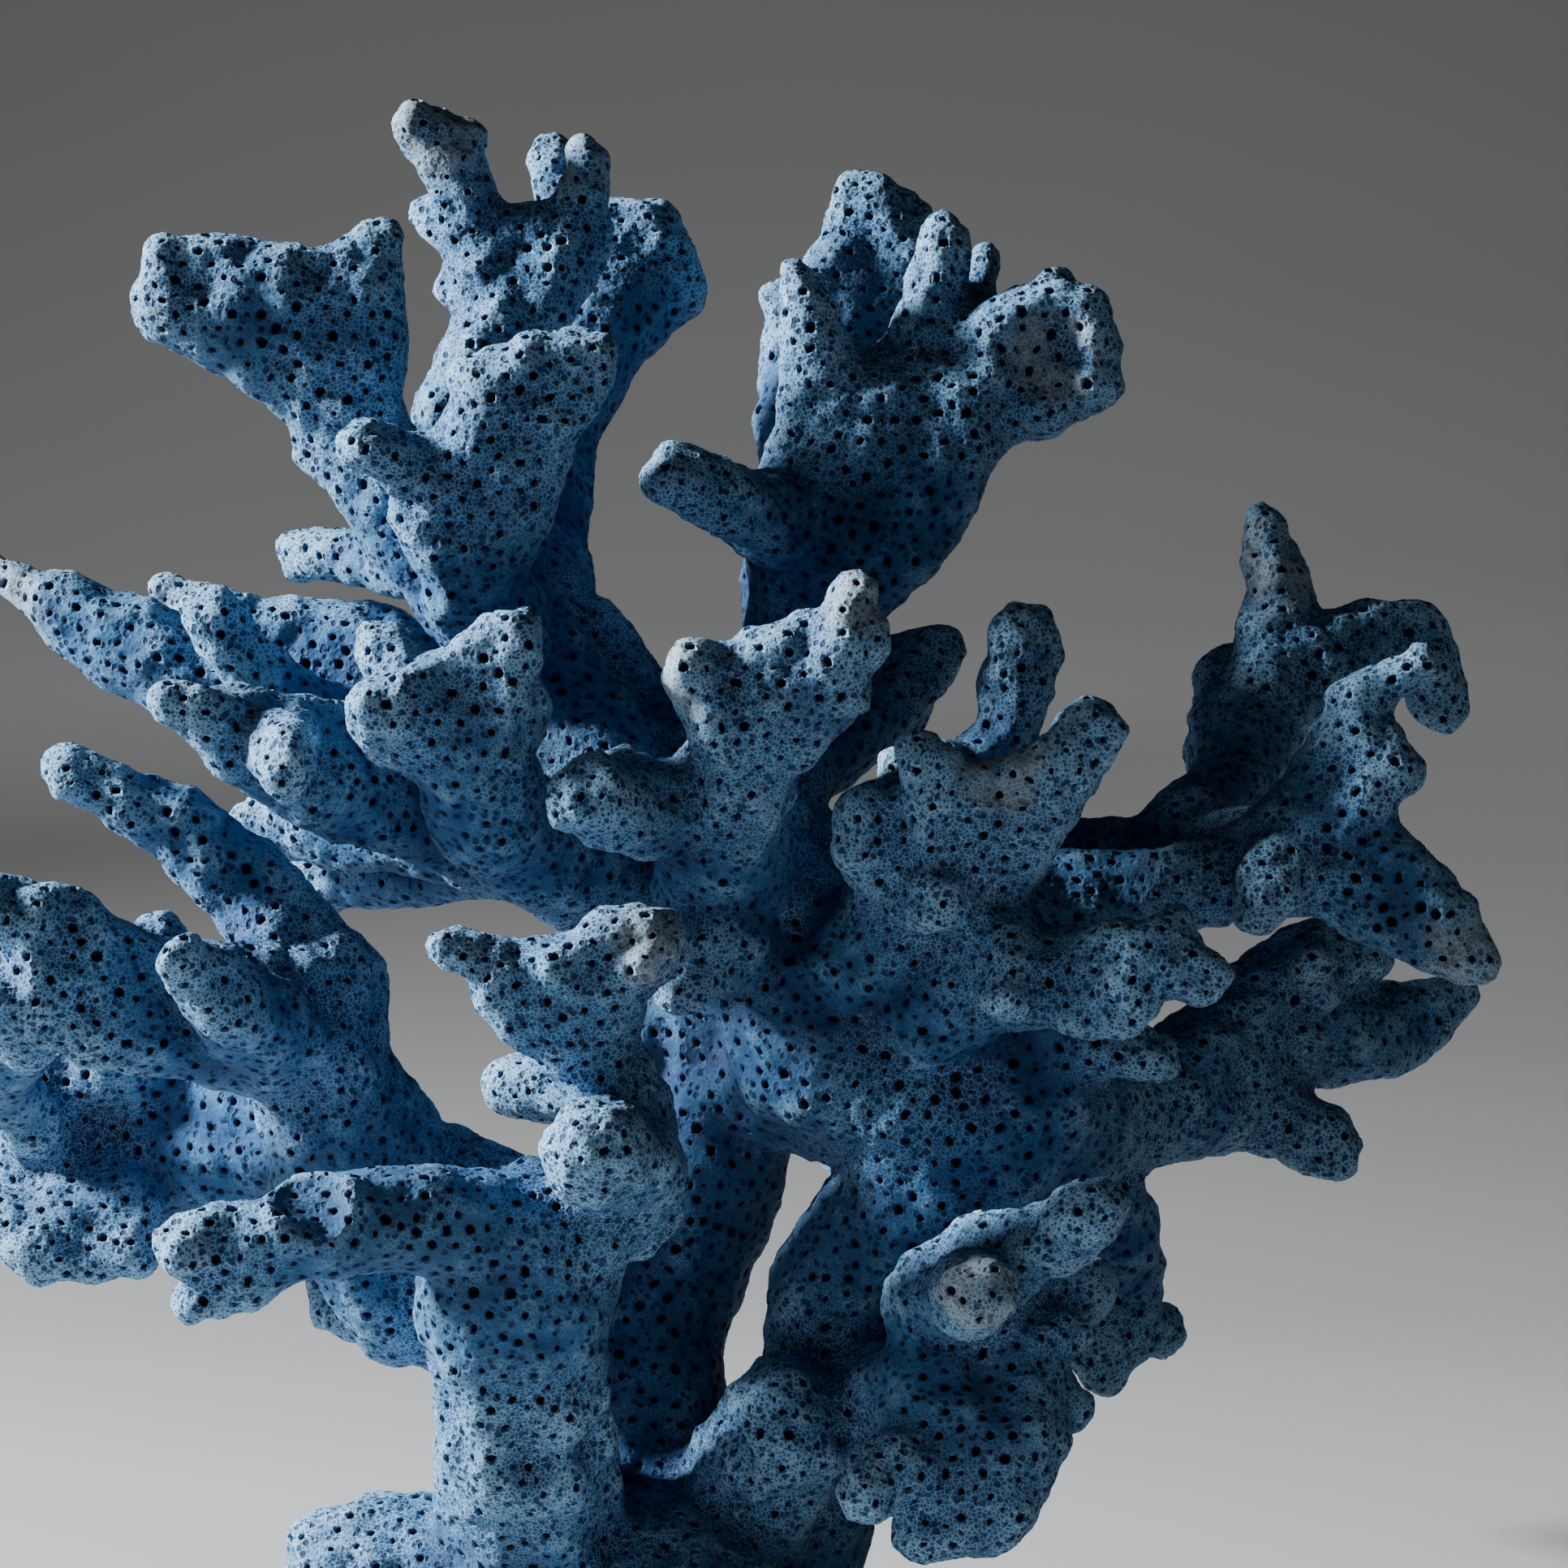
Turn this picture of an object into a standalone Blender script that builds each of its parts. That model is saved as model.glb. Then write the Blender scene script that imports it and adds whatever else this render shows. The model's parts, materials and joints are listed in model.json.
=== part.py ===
"""A branching blue coral colony, cut off flat at its base.

Every branch is a chain of stations. A station is a ball, or a bar with round
ends where the branch is flat, and each pair of neighbouring stations is
joined by the hull round both. Stations are given as they are seen from the
front, in millimetres: across to the right, up from the base, and toward the
viewer. The hulls are fused into one body, rounded, and sawn at the main forks.
"""

import math

import bmesh
import bpy
from mathutils import Matrix, Vector

MM = 0.001
COLONY = "blue_coral"

# The view in which the stations are given, in millimetres and degrees
VIEW_CENTRE = (4.0, 76.0)
VIEW_DISTANCE = 500.0
VIEW_TILT = math.radians(6.0)
BASE_CENTRE = (-7.0, 0.0)

# Finish of the solid, in metres
VOXEL = 0.9 * MM
SWELL = 0.3
SMOOTH_STEPS = 8
TRIANGLES = 8000
KERF = 0.3 * MM
CORAL_BLUE = (0.11, 0.24, 0.42, 1.0)
CORAL_ROUGHNESS = 0.85

# Each branch: its stations as (across, up, toward, radius) for a ball, or
# (across, up, toward, radius, bar across, bar up, bar toward) for a flat
# stretch, where the last three give half of the bar.
BRANCHES = {
    "trunk": {
        "left_column": [
            (-7, -3, -2, 10, 8, 0, 0), (-7, 11, 0, 8.6, 1, 0, 0), (-7.6, 22, -2, 6.2),
            (-6.9, 31, -3, 6), (-3.7, 40, -3, 7.4), (-1, 49, -2, 7), (-1, 57, 0, 6.8),
            (1, 64, 4, 7.5), (0, 71, 2, 7),
        ],
        "right_column": [
            (-2, -3, 0, 9.4), (5.2, 12, 2, 7.2), (8.5, 22, 3, 6.5), (9.1, 31, 4, 6.7),
            (16.8, 40, 6, 7.8), (21, 48, 8, 8, 4.6, 0, 0), (12, 55, 8, 8.3, 5, 2, 0),
            (5, 61, 8, 7.5), (0, 68, 6, 6.5),
        ],
        "arch": [(-1, 50, 0, 6), (8, 49, 4, 6), (16, 50, 7, 7)],
        "right_body": [(17, 44, 6, 7), (25, 45.5, 5, 7.4, 3, 0, 0), (33, 48, 1, 5.2)],
        "base_left": [(-10, 3, 6, 10), (-20, 4, 8, 9), (-33.3, 7.2, 6, 6.6)],
        "base_low_left": [(-20, -1, 8, 9), (-33, -1, 6, 7.5)],
        "base_back": [(-4, 4, -8, 9), (-2, -2, -20, 8)],
        "base_front": [(-6, 6, 8, 9), (-4, 0, 18, 8)],
        "base_lobe": [(0, 12, 6, 7), (4.5, 19.5, 12, 6.2)],
        "front_column": [(-17, -2, 8, 10), (-18, 10, 11, 8.6), (-18.8, 17, 17, 7.7), (-18.8, 20, 20, 7.9)],
        "left_link": [(-7, 31, -3, 6.6), (-16, 32, -1, 6.2, 0, 2, 0), (-24, 34, 0, 5.5, 0, 5, 0)],
        "upper_link": [(0, 68, 3, 7), (-9, 69, 2, 6.8), (-15, 69.5, 4, 6)],
        "rear_knob": [(-6, 48, -5, 5), (-13, 49, -9, 3.4), (-19, 49.3, -12, 3.1)],
    },
    "front_left_limb": {
        "column": [
            (-18.8, 18, 19, 8), (-19.3, 25, 23, 7.9), (-19.8, 31, 26, 8, 1, 0, 0),
            (-18.7, 36, 28, 6.3, 1.4, 0, 0), (-11.6, 39.2, 27, 4.8),
        ],
        "arm": [
            (-20, 36, 29, 6), (-27, 38, 32, 4.9), (-34, 37.4, 34, 4.6), (-38.5, 36.4, 35, 4.3),
            (-43.6, 35.8, 36, 3.2), (-48.9, 35.2, 37, 2.8),
        ],
        "arm_low_tip": [(-41, 34, 35, 3.2), (-44.6, 31.8, 35, 2.3), (-48.3, 30.4, 35, 1.9)],
        "knob": [(-9.5, 42, 28, 5), (-13, 43.8, 38, 4.6)],
        "stem": [(-10, 40, 26, 5.6), (-9.8, 46.5, 27, 4.6), (-13, 52, 29, 3.9)],
        "palm": [
            (-13, 52, 29, 3.9), (-15.3, 57.3, 32, 3.3, 4.2, 0.4, 0), (-15, 60, 33, 3.1, 6, 1.2, 0),
        ],
        "palm_left_tip": [(-20.5, 59.4, 33, 2.9), (-25.6, 61.9, 34, 1.8)],
        "palm_right_tip": [(-12, 61, 33, 3.6), (-8.2, 61.2, 33, 4.0)],
    },
    "left_limb": {
        "root": [
            (-22, 34, 0, 5.6, 0, 5, 0), (-29, 35.5, 2, 4.6, 1, 6, 0), (-34.2, 43, 6, 5.4, 1.4, 3, 0),
            (-37.2, 51, 9, 5.4, 0, 3, 0), (-37.2, 57, 9, 5.1, 0.4, 2, 0),
        ],
        "root_plate": [(-28, 33, -3, 3, 0, 5, 0), (-35, 32, -8, 2.4, 0, 1.8, 0)],
        "long_finger": [
            (-37.9, 60, 9, 4.9), (-42.8, 66.6, 9, 4.2), (-49.2, 72.2, 10, 3.6), (-55, 75.4, 11, 2.9),
            (-58.6, 76.8, 11, 2.4),
        ],
        "spur": [(-36, 58, 8, 4), (-33.6, 58.6, 7, 2.7)],
        "arm": [
            (-36, 55, 10, 5.4, 0, 3, 0), (-45, 55.4, 15, 4.4, 0, 2, 0), (-54, 57, 18, 3.9, 0, 2.4, 0),
            (-61, 60, 20, 3.3, 0, 4, 0),
        ],
        "arm_top_tip": [(-61, 63.5, 20, 3.4), (-66, 65.5, 21, 2.6), (-70.5, 67.5, 22, 2.0)],
        "arm_low_tip": [(-61, 57, 20, 3.2), (-66, 56, 21, 2.7), (-71, 56.5, 22, 2.1)],
        "arm_bump": [(-51, 59.5, 16, 3), (-51, 62.7, 15, 2.1)],
        "front_finger": [(-41, 54, 16, 4.8), (-45.5, 57, 23, 3.9), (-48.8, 60.6, 27, 2.3)],
        "flap": [
            (-36, 47, 0, 5, 0, 1, 0), (-46, 46, -5, 4.4, 0, 3.4, 0), (-55, 44.5, -8, 3.8, 0, 4, 0),
            (-62, 42, -8, 3, 0, 2.6, 0),
        ],
        "low_plate": [
            (-55, 42, -5, 3), (-58.5, 37, -1, 2.6, 5.4, 0.4, 0), (-57.5, 34, 1, 1.7, 4.2, 0, 0),
        ],
        "low_plate_tip": [(-63, 38, -2, 2.6), (-68, 38.5, -3, 2.2)],
        "link": [(-63, 54, 16, 3), (-65, 50, 6, 2.9), (-61, 45, -4, 3)],
    },
    "club_limb": {
        "stem": [
            (-14, 69, 8, 6), (-19, 71, 13, 5.1), (-22.2, 73.8, 18.5, 4.8, 0.5, 0, 0),
            (-23.2, 78, 22, 4.6, 1, 0, 0), (-25.3, 82.4, 25, 3, 5.6, 0.8, 0),
            (-26.3, 85.2, 27, 2.5, 6, 3.1, 0),
        ],
        "knob": [(-20.8, 83, 25, 3.5), (-20.2, 88.8, 27, 3.1)],
        "rear_bump": [(-28, 82, 22, 3), (-31.6, 88.2, 18, 2.4)],
    },
    "left_finger_limb": {
        "body": [
            (-14, 70, 2, 6), (-22, 72, 6, 5.6), (-30, 75, 11, 4.8, 0, 0.8, 0),
            (-37.5, 78, 16, 4.1, 0, 1.4, 0), (-44, 80.8, 19, 3.4, 0, 0.8, 0), (-48, 82.4, 21, 2.6),
            (-50.2, 83, 21, 2.1),
        ],
        "front_finger": [(-40, 80.5, 18, 3.6), (-40.2, 79, 23, 3), (-39.8, 77.4, 26, 2.8)],
        "rear_arm": [(-20, 70.5, 0, 4), (-27, 68.4, -8, 3), (-36, 67.6, -14, 2.8), (-40, 68.4, -17, 2.2)],
        "dark_arm": [(-26, 71.5, 2, 4.2), (-35, 72, -4, 3.6), (-42, 72.8, -8, 2.9)],
    },
    "far_left_limb": {
        "body": [
            (-12, 74, -3, 6), (-22, 77.6, -6, 5.2), (-31, 79.6, -6, 4.4), (-40, 82.4, -5, 3.7),
            (-48.5, 85.6, -5, 3.2, 0, 1, 0), (-54.5, 88.6, -6, 3.3, 0, 1.1, 0),
            (-59, 90.8, -7, 2.6, 0, 0.6, 0), (-62.5, 93.4, -8, 1.7), (-67, 95.6, -9, 1.3, 0, 0.7, 0),
        ],
        "upright_finger": [(-38, 81.4, -3, 3.6), (-41.6, 84.8, -1, 3.3), (-45, 88.4, 1, 2.8), (-46.8, 91.2, 2, 2.1)],
        "rear_plate": [
            (-20, 76, -9, 4.4), (-25, 80, -17, 4, 0, 1.5, 0), (-31, 85.4, -20, 3.6, 0, 2.6, 0),
            (-38.5, 87.8, -21, 3, 0, 1, 0), (-46, 90.8, -22, 2.4), (-50.4, 92.8, -23, 1.9),
        ],
    },
    "top_left_limb": {
        "stem": [(-9, 74, -1, 6.2), (-15.5, 82, -3, 6), (-20.5, 90, -2, 5.6), (-28, 98, -1, 4.8),
                 (-32.6, 104.4, 0, 4.4), (-34.5, 109, 1, 4.2, 0.5, 0, 0)],
        "hammer": [(-34.5, 109, 1, 4.2, 0.5, 0, 0), (-38.2, 113.6, 2, 3.6, 5.4, -1.6, 0),
                   (-41.6, 118.3, 3, 3.3, 8.6, 0.4, 0), (-42.6, 121.7, 3, 2.6, 7.4, 0, 0)],
        "hammer_knob": [(-32.5, 118.5, 3, 3.2), (-31.6, 123.5, 3, 2.2)],
        "neck_knob": [(-35, 104.8, 0, 3), (-37.6, 106, 0, 2)],
        "front_stem": [(-20, 88, 0, 5), (-23.8, 94, 6, 4.8), (-23.6, 100.4, 10, 4.2, 2.6, 0, 0),
                       (-22.6, 104.6, 12, 3.6, 4.6, 0.8, 0)],
        "front_palm": [(-22, 104.8, 12, 3.6, 2, 0, 0), (-19, 109, 13, 3.4, 2.8, 0, 0),
                       (-17.9, 112.5, 14, 2.6, 5, 1, 0)],
        "front_finger": [(-26.6, 103.2, 12, 3.1), (-32.7, 105.4, 15, 2.6)],
        "rear_finger": [(-24, 95, -6, 3.4), (-32, 95.9, -15, 2.4), (-38.8, 96.2, -20, 2.0)],
    },
    "top_middle_limb": {
        "stem": [(-8, 73, -5, 6), (-14, 82, -9, 5.6), (-18, 91, -11, 5.2), (-22.5, 101, -12, 4.8),
                 (-24.8, 108.6, -12, 4.4), (-21.3, 114.6, -13, 4)],
        "palm": [(-21.3, 114.6, -13, 4), (-18.8, 120.2, -14, 3.2, 3, 0.3, 0), (-18.8, 124.6, -14, 2.6, 5.4, 0, 0)],
        "left_finger": [(-23.4, 126, -14, 2.7), (-25.2, 130.4, -13, 2.5), (-26.3, 133.5, -12, 1.8, 1.9, -0.6, 0)],
        "right_finger": [(-14, 126, -14, 2.7), (-13.3, 130.8, -14, 2.0)],
        "rear_tip": [(-15, 125.5, -17, 2.6), (-16.8, 131.6, -20, 1.6)],
        "left_knob": [(-24, 124.5, -14, 2.4), (-27.6, 126.2, -15, 1.5)],
        "left_spur": [(-21.6, 119, -14, 2.4), (-25.9, 119.5, -14, 1.2)],
        "rear_stem": [(-16.6, 88, -12, 5), (-17.6, 98, -18, 4.5), (-17, 107, -23, 4.5), (-12.8, 115, -27, 4.1, 1, 0.7, 0),
                      (-9.8, 121, -30, 3.4, 3.6, -1.4, 0), (-10.6, 124.6, -30, 2.8, 2.8, 0, 0)],
    },
    "top_right_limb": {
        "stem": [(1, 72, -3, 6.4), (3, 80, -6, 6), (5.5, 88, -5, 5.4), (7.5, 94, -4, 5.4, 1.5, 0, 0),
                 (9.6, 98, -3, 5, 4.4, 0, 0), (12.6, 104, -2, 4.4, 5.2, 0, 0), (14.2, 110.4, -2, 4.1, 6.5, 0.6, 0)],
        "left_finger": [(4.5, 98.5, 0, 4), (-0.6, 100.6, 5, 3.3), (-5, 102.9, 8, 2.9)],
        "spike_one": [(7.8, 111, -1, 3.2), (6.3, 116.2, 0, 2.5), (5.4, 120.4, 0, 1.6)],
        "spike_two": [(15.6, 112, -3, 3.6), (17.3, 118.8, -3, 2.9), (17.9, 123.8, -3, 2.4)],
        "right_plate": [(20, 110.5, -3, 4.2, 2, -0.6, 0), (25.6, 113.2, -2, 3.4, 1, -3.4, 0), (30.6, 114.2, -1, 2.8, 0.8, -2.8, 0)],
        "plate_knob": [(26.2, 116, -2, 2.8), (27.8, 119.4, -2, 1.8)],
        "small_rear_knob": [(19.5, 114, -6, 3), (21.8, 121.6, -8, 1.6)],
        "rear_plate": [(4.5, 94, -8, 4.6), (6.4, 101, -15, 4, 1, 0, 0), (7.2, 108, -20, 3.4, 2.2, 0, 0),
                       (8, 115, -24, 3.1, 2.9, 0, 0), (11.8, 121.6, -26, 2.8, 2.9, 0.3, 0), (11.8, 127.5, -27, 1.9, 1.4, -0.5, 0)],
        "rear_corner": [(6.6, 114, -24, 3), (4.2, 118.4, -24, 2)],
        "rear_edge": [(12, 123, -26, 2.6), (15.4, 124.8, -27, 2)],
        "side_stub": [(-1, 78, -6, 5), (-9, 81, -8, 4.4), (-12.6, 87.6, -9, 3.2, 0, 1, 0)],
        "dark_knob": [(4, 78, -7, 5), (12.4, 83.6, -11, 4.6), (17.2, 87.4, -12, 2.6)],
    },
    "centre_limb": {
        "stem": [(1, 61, 8, 6.5), (-1.2, 67.5, 13, 6.2), (-1.4, 73.6, 19, 5.9), (0.8, 79, 24, 4.6)],
        "palm": [(0.8, 79, 24, 4.6), (3.4, 84, 27, 3.6, 5.4, 1, 0), (4.4, 87.6, 28, 2.7, 6, 2, 0)],
        "palm_left": [(0, 82.6, 27, 3.6), (-3.2, 85.6, 28, 3.3)],
        "palm_horn": [(8.6, 87.6, 29, 3.2), (10.4, 92.4, 29, 2.1)],
        "palm_corner": [(9, 86.6, 29, 3), (11.6, 88.8, 29, 2.4)],
        "side_finger": [(-3.6, 73.2, 18, 4.8), (-9.6, 74.2, 23, 4.1), (-13.4, 74.6, 27, 3.8)],
        "rear_bump": [(-7, 74.6, 18, 3.2), (-10.8, 76.8, 16, 2.1)],
        "low_knob": [(-2, 62.5, 15, 4.8), (-5.4, 58.2, 19, 2.6)],
    },
    "right_front_limb": {
        "stem": [(11, 60, 11, 7), (16, 65, 16, 5.6), (20.6, 70, 21, 4.6, 2.4, 0, 0), (22, 74.6, 25, 3.4, 4.8, 0, 0)],
        "cup_left": [(17.8, 75.6, 26, 3.2), (15.7, 78.6, 27, 2.3)],
        "cup_right": [(26, 75.4, 26, 3.3), (29.4, 78.4, 26, 3), (31.2, 80.6, 26, 3.2)],
        "upright": [(17, 69, 17, 4.6), (19.6, 76.6, 14, 3.3), (23.6, 79.6, 12, 3.1), (24.4, 84, 12, 3.2), (25, 88.2, 12, 3.5)],
        "upright_ledge": [(19.6, 77, 14, 3), (14.6, 77.6, 18, 2.4)],
        "left_lobe": [(14.4, 66.5, 18, 3.8), (12, 71.5, 22, 3.3, 0, 1.4, 0)],
        "under_knob": [(17, 67, 20, 3.6), (17.4, 65.6, 24, 3)],
    },
    "right_low_limb": {
        "stem": [(17, 56, 13, 6.4), (22.6, 60, 18, 4.8), (29, 58.6, 22, 3.6, 0, 1, 0), (34.6, 58.8, 25, 3, 0, 2, 0)],
        "down_finger": [(22.4, 63.5, 20, 4.2), (23.8, 59.6, 24, 3.1), (23.8, 57.2, 25, 2.4)],
        "top_tip": [(35.5, 60, 25, 3), (38.2, 62.4, 25, 2.5)],
        "right_tip": [(36.5, 60, 25, 3.2), (41.2, 58.8, 26, 2.2)],
        "low_tip": [(34, 57.5, 25, 2.8), (33.6, 55.4, 25, 2.2)],
        "low_knob": [(27, 53.8, 11.5, 4.2), (33.5, 52.8, 14, 3), (36.9, 51.6, 15, 2.6)],
    },
    "right_limb": {
        "lower_arm": [(13, 62, 4, 6.2), (22, 65, 6, 4.8), (30, 66.4, 7, 3.7), (38, 66.6, 7, 3.4), (45, 68, 8, 4.4)],
        "upper_arm": [(9, 68, -3, 5.6), (19, 69.6, -4, 4.1), (29, 69.9, -4, 3.3), (38, 69.6, -2, 3), (46, 70, 3, 3.6)],
        "palm": [(45, 68.4, 8, 4.4), (50, 70.6, 9, 4.5, 1.6, 0.6, 0), (52.4, 75, 10, 3.6, 1.2, 0, 0), (54, 80, 11, 2.8, 0.4, 0, 0),
                 (54.4, 83.2, 11, 2.4)],
        "top_tip": [(54.4, 83.2, 11, 2.4), (57.4, 85.2, 12, 2), (60.4, 86.4, 13, 1.8)],
        "ridge": [(52.6, 72, 11, 4), (55.6, 76.6, 12, 3.2), (56.6, 79.2, 12, 2.6)],
        "ridge_side": [(56, 77.4, 11, 2.8), (58.6, 77.2, 10, 1.8)],
        "wing": [(51, 69.6, 10, 4.2), (54.8, 68.4, 11, 3.2, 0.8, 2.8, 0), (59.6, 64.4, 12, 2.4, 1.2, 1.8, 0),
                 (64, 60.6, 13, 1.7, 0.8, 0.8, 0), (65.6, 59.2, 13, 1.2)],
        "under_knob": [(48, 68.6, 11, 3.8), (46, 66.4, 15, 3.2)],
        "rear_stem": [(39, 71.6, -3, 3.6), (42.6, 75, -8, 3.8), (45.2, 80, -12, 3.8), (47.4, 86.4, -16, 3.8)],
        "rear_spike": [(47.4, 86.4, -16, 3.8), (47.6, 91.6, -17, 3.1), (46.9, 96, -18, 2.4), (46.2, 99, -18, 1.6)],
        "rear_arm": [(48.6, 87.4, -16, 3.4), (54, 88.8, -17, 2.7), (59.6, 90.2, -18, 2.3)],
        "rear_arm_plate": [(59.4, 89.4, -18, 2.4), (61.4, 85.8, -19, 2.3, 0.3, -2.5, 0)],
        "rear_lobe": [(43.6, 78, -11, 3.4), (42.6, 82, -20, 2.8, 0.5, 3.2, 0)],
    },
    "right_rear_limb": {
        "stem": [(31, 47, 2, 5.4), (38, 48.4, -4, 4.6, 0, 1, 0), (45, 51.5, -10, 4.4, 0, 3, 0)],
        "low_finger": [(44, 49, -9, 4), (49, 45.8, -10, 3.5), (52, 44.4, -10, 3.3)],
        "right_finger": [(46, 53, -11, 4.4), (51, 54, -14, 3.9), (57, 54.2, -18, 3.2, 0, 1, 0), (61.6, 56.2, -20, 2.7), (63.4, 57.2, -21, 2.1)],
        "upper_lobe": [(44, 56, -11, 4.4), (49.5, 60, -13, 3.8), (55, 61, -14, 2.8)],
        "small_knob": [(49.5, 58, -11, 3), (50.6, 59.8, -7, 1.8)],
        "hanging_stem": [(29, 43, 0, 5), (33.6, 37, -4, 3.5), (33.8, 31, -7, 3.3), (32, 26, -8, 3)],
        "hanging_finger": [(33, 27.4, -8, 3.1), (37.4, 28.2, -10, 2.1)],
        "hanging_tip": [(32.4, 27, -8, 2.9), (31.8, 24, -8, 2)],
    },
    "front_right_limb": {
        "root": [(9, 20, 6, 5.8), (16.6, 22.8, 16, 5, 0.4, 0, 0), (20.9, 23.8, 20, 4.8, 4, 0, 0), (20.6, 18.6, 23, 4.2, 4, 0, 0),
                 (20.2, 13.2, 24, 3.3, 2.8, 0, 0), (19.4, 10.4, 24, 2.7, 3, 0, 0)],
        "low_finger": [(16, 17, 24, 3.6), (10.9, 13.6, 28, 2.9)],
        "corner": [(25, 22, 20, 3.8), (28.6, 21, 20, 2.1)],
        "hump": [(17.6, 27, 18, 4.3), (18.6, 31.2, 20.5, 4.5, 1.8, 0.6, 0), (22.6, 34.2, 21, 4.2)],
        "front_knob": [(19.5, 31, 25, 4), (21.3, 31.2, 34, 3)],
        "front_finger": [(22.6, 34, 24, 4), (27.4, 36, 28, 3.3), (31.1, 37.8, 30, 2.9)],
        "side_finger": [(23, 27.2, 21, 4), (30, 28, 20, 1.6)],
    },
    "lower_rear_limb": {
        "stem": [(-1, 47, -4, 6), (0.5, 51, -15, 5.6), (8, 54, -26, 4.8)],
        "left_fork": [(5, 53, -23, 4.6), (0, 57, -33, 4), (-4, 58.6, -42, 2.8), (-5.4, 57.6, -45, 2.2)],
        "right_fork": [(8, 54, -26, 4.8), (17, 54, -35, 3.8, 0, 2.4, 0), (23, 55, -42, 2.9, 0, 3, 0)],
        "right_tip": [(22.4, 57.5, -41, 2.8), (26, 56.6, -47, 2)],
        "low_fork": [(6, 50, -24, 4.4), (12, 44.6, -33, 3.4, 1.6, 0, 0), (13.4, 43, -38, 2.4, 2, 0, 0)],
    },
    "upper_rear_limb": {
        "stem": [(-1, 69, -3, 6), (-2, 73, -13, 5.4), (-5, 77, -23, 4.8)],
        "left_palm": [(-5, 77, -23, 4.8), (-12, 80, -31, 3.8, 0, 2.4, 0), (-18.4, 83, -37, 2.8, 0, 3.6, 0)],
        "left_tip": [(-17.6, 80, -36, 2.8), (-21.6, 78.6, -42, 2)],
        "right_palm": [(-3, 76, -22, 4.6), (2, 79, -32, 3.6, 2, 0, 0), (3, 83.4, -39, 2.8, 3.6, 0.4, 0)],
        "right_tip": [(5, 83, -39, 2.8), (7.6, 86.6, -43, 1.9)],
        "middle_tip": [(-4, 77.5, -28, 3.6), (-6, 79, -38, 3), (-7, 80.4, -46, 2.2)],
    },
}


# The saw cuts, as (centre, direction across the cut, half of its two sides)
SAWS = {
    "front_left": ((-19, 21.8, 21.3), (-0.1, 0.93, 0.35), (11, 10)),
    "left": ((-23.5, 34.3, 0.4), (-0.97, 0.15, 0.2), (10.5, 13.5)),
    "club": ((-22.8, 76.2, 20.3), (-0.2, 0.75, 0.63), (6.4, 7.5)),
    "upper_left": ((-16.2, 74.2, 0.4), (-1, 0, 0), (20.9, 12.5)),
    "top_left": ((-15.6, 86.3, -6), (0, 1, 0), (9.6, 13.5)),
    "top_right": ((5.9, 89.3, -5), (-0.12, 0.99, 0), (8.6, 9.5)),
    "centre": ((-1.8, 70.3, 15.8), (0, 0.72, 0.69), (8, 8.5)),
    "right_column": ((8.7, 58.9, 2.8), (0.997, -0.08, 0), (15.8, 17.1)),
    "right_waist": ((8.9, 28.8, 3.8), (0, 1, 0.1), (7.7, 7.7)),
    "right": ((28.5, 68.3, 1.5), (1, 0, 0), (12, 8.5)),
    "right_rear": ((36.5, 48.1, -2.7), (0.75, 0.15, -0.64), (8, 7)),
    "right_low": ((30.5, 59, 22.5), (1, 0, 0), (4.7, 5.8)),
    "front_right": ((14.2, 22, 13.8), (0.57, 0.1, 0.81), (7.2, 9.6)),
    "lower_rear": ((-0.2, 49.4, -10.5), (0.1, 0.3, -0.95), (8, 8)),
    "upper_rear": ((-2.8, 74.3, -16), (-0.2, 0.37, -0.91), (6.6, 6.8)),
}

# A place at the skin of each piece
PIECES = {
    "trunk": (-6, 12, 9),
    "right_trunk": (25, 45, 12),
    "front_left_limb": (-34, 37, 39),
    "left_limb": (-45, 55, 19),
    "club_limb": (-25, 83, 28),
    "upper_left_limb": (-44, 81, 22),
    "top_left_limb": (-41, 118, 6),
    "top_right_limb": (14, 110, 2),
    "centre_limb": (3, 84, 31),
    "right_limb": (53, 74, 14),
    "right_rear_limb": (51, 54, -10),
    "right_low_limb": (36, 59, 28),
    "front_right_limb": (20, 18, 27),
    "lower_rear_limb": (17, 54, -35),
    "upper_rear_limb": (-12, 80, -31),
}


def seen_at(across, up, toward):
    """World place, in metres, of a point given as it is seen in the front view."""
    nearer = 1.0 - toward / VIEW_DISTANCE
    right = VIEW_CENTRE[0] + (across - VIEW_CENTRE[0]) * nearer
    high = VIEW_CENTRE[1] + (up - VIEW_CENTRE[1]) * nearer
    x = right - BASE_CENTRE[0]
    y = high * math.sin(VIEW_TILT) - toward * math.cos(VIEW_TILT) - BASE_CENTRE[1]
    z = high * math.cos(VIEW_TILT) + toward * math.sin(VIEW_TILT)
    return Vector((x, y, z)) * MM


def station_balls(station):
    """One ball, or the two end balls of a bar, as (centre, radius)."""
    across, up, toward, radius = station[:4]
    bar = station[4:] or (0, 0, 0)
    radius = (radius + SWELL) * MM * (1.0 - toward / VIEW_DISTANCE)
    ends = {seen_at(across + side * bar[0], up + side * bar[1], toward + side * bar[2]).freeze() for side in (-1, 1)}
    return [(end, radius) for end in ends]


def ball_points():
    """The corners of a unit icosphere."""
    ball = bmesh.new()
    bmesh.ops.create_icosphere(ball, subdivisions=2, radius=1.0)
    points = [corner.co.copy() for corner in ball.verts]
    ball.free()
    return points


def add_hull(body, balls, points):
    """Adds the closed hull round some balls to a bmesh."""
    corners = [body.verts.new(centre + point * radius) for centre, radius in balls for point in points]
    made = bmesh.ops.convex_hull(body, input=corners, use_existing_faces=False)
    inner = {item for item in made["geom_interior"] + made["geom_unused"] if isinstance(item, bmesh.types.BMVert)}
    bmesh.ops.delete(body, geom=list(inner), context="VERTS")


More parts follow.
